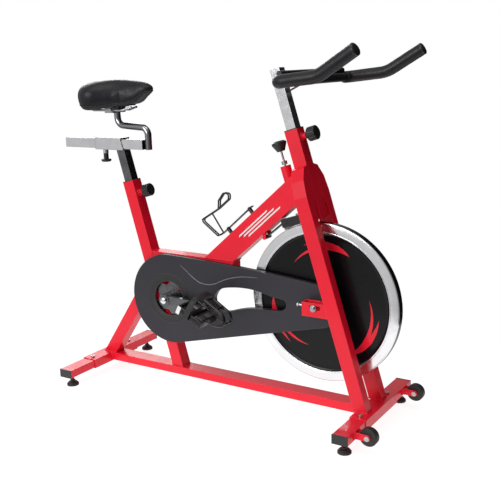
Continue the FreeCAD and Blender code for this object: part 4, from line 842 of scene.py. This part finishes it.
# ---------------------------------------------------------------- bottle cage
def build_bottle_cage():
    def spot(out, across, along):
        return MAIN @ mm(-34 - out, across, along)

    bm = bmesh.new()
    for y in (-5, 5):
        side = [spot(20, y, -119), spot(24, y, -139), spot(96, y, -156), spot(84, y, -82),
                spot(83, y, -33), spot(95, y, -22), spot(108, y, -35), spot(101, y, -66)]
        sweep(bm, rounded_path(side, [6, 8, 20, 6, 6, 6], 2.0), 2.4, sides=12)
        sweep(bm, [spot(102, y, -63), spot(84.5, y, -81)], 2.4, sides=12)
    sweep(bm, [spot(22, 0, -119), spot(89, 0, -112)], 2.4, sides=12)
    for out, along in ((89, -112), (84, -70), (95.5, -152)):
        sweep(bm, [spot(out, -5, along), spot(out, 5, along)], 2.0, sides=10)
    strip = MAIN @ Matrix.Translation(mm(-34 - 19.5, 0, -52))
    rounded_box(bm, (3, 14, 140), strip, 1.0, 2)
    cage = piece("bottle_cage_wire", bm, "frame", "black_paint")
    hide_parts("bottle_cage")
    bm = bmesh.new()
    for along in (-96, 4):
        place = MAIN @ Matrix.Translation(mm(-34, 0, along)) @ Matrix.Rotation(math.radians(-90), 4, "Y")
        profile = [(0, 24.5), (3.5, 24.5), (5, 23), (5, 21.2), (6, 21.2), (6, 18), (6, 0)]
        lathe(bm, profile, place, steps=24, closed=False)
    piece("bottle_cage_spacers", bm, "frame", "black_paint")


# ---------------------------------------------------------------- small things
def build_small_parts():
    bm = bmesh.new()
    for side in (-1, 1):
        place = sideways(CRANK.x / MM, side * 68, CRANK.z / MM)
        if side > 0:
            place = place @ Matrix.Rotation(math.radians(180), 4, "X")
        lathe(bm, [(0, 3.4), (5, 3.0), (9, 1.8), (10.6, 0.2), (11, -2)], place, steps=32, closed=False)
    piece("crank_caps", bm, "crankset", "steel", look="chrome")
    bm = bmesh.new()
    for across, start, end in ((9, -38, 104), (0, -52, 84), (-9, -66, 62)):
        face = MAIN @ Matrix.Translation(mm(across, -20.0, 0)) @ Matrix.Rotation(math.radians(90), 4, "X")
        plate(bm, [(-2.2, start), (2.2, start - 5), (2.2, end - 5), (-2.2, end)], 0.25, face)
    piece("stripe_marks", bm, "frame", "red_paint", look="white_plastic", smooth=False)


build_camera()
build_world()
build_floor()
for lamp_spec in LAMPS:
    add_light(*lamp_spec)
LOOKS = build_materials()
# CAD nodes whose finish is a variant of their record's slot.
FINISH_OF = {"chainring": "dark_steel", "seat_post": "dark_steel", "crank_arms": "dark_steel",
             "saddle_stem": "chrome_painted_darker", "slider_collar": "chrome_edge_shade", "slider_bar": "chrome_edge_shade"}
for node_name, node_object in NODES.items():
    look = LOOKS[FINISH_OF.get(node_name, SLOT_OF[node_name])]
    if not node_object.material_slots:
        node_object.data.materials.append(look)
    for slot in node_object.material_slots:
        slot.material = look
build_welds()
build_flywheel()
build_guard_details()
build_saddle()
build_grips()
build_pedals()
build_bottle_cage()
build_small_parts()
bpy.context.scene.view_settings.view_transform = "Standard"
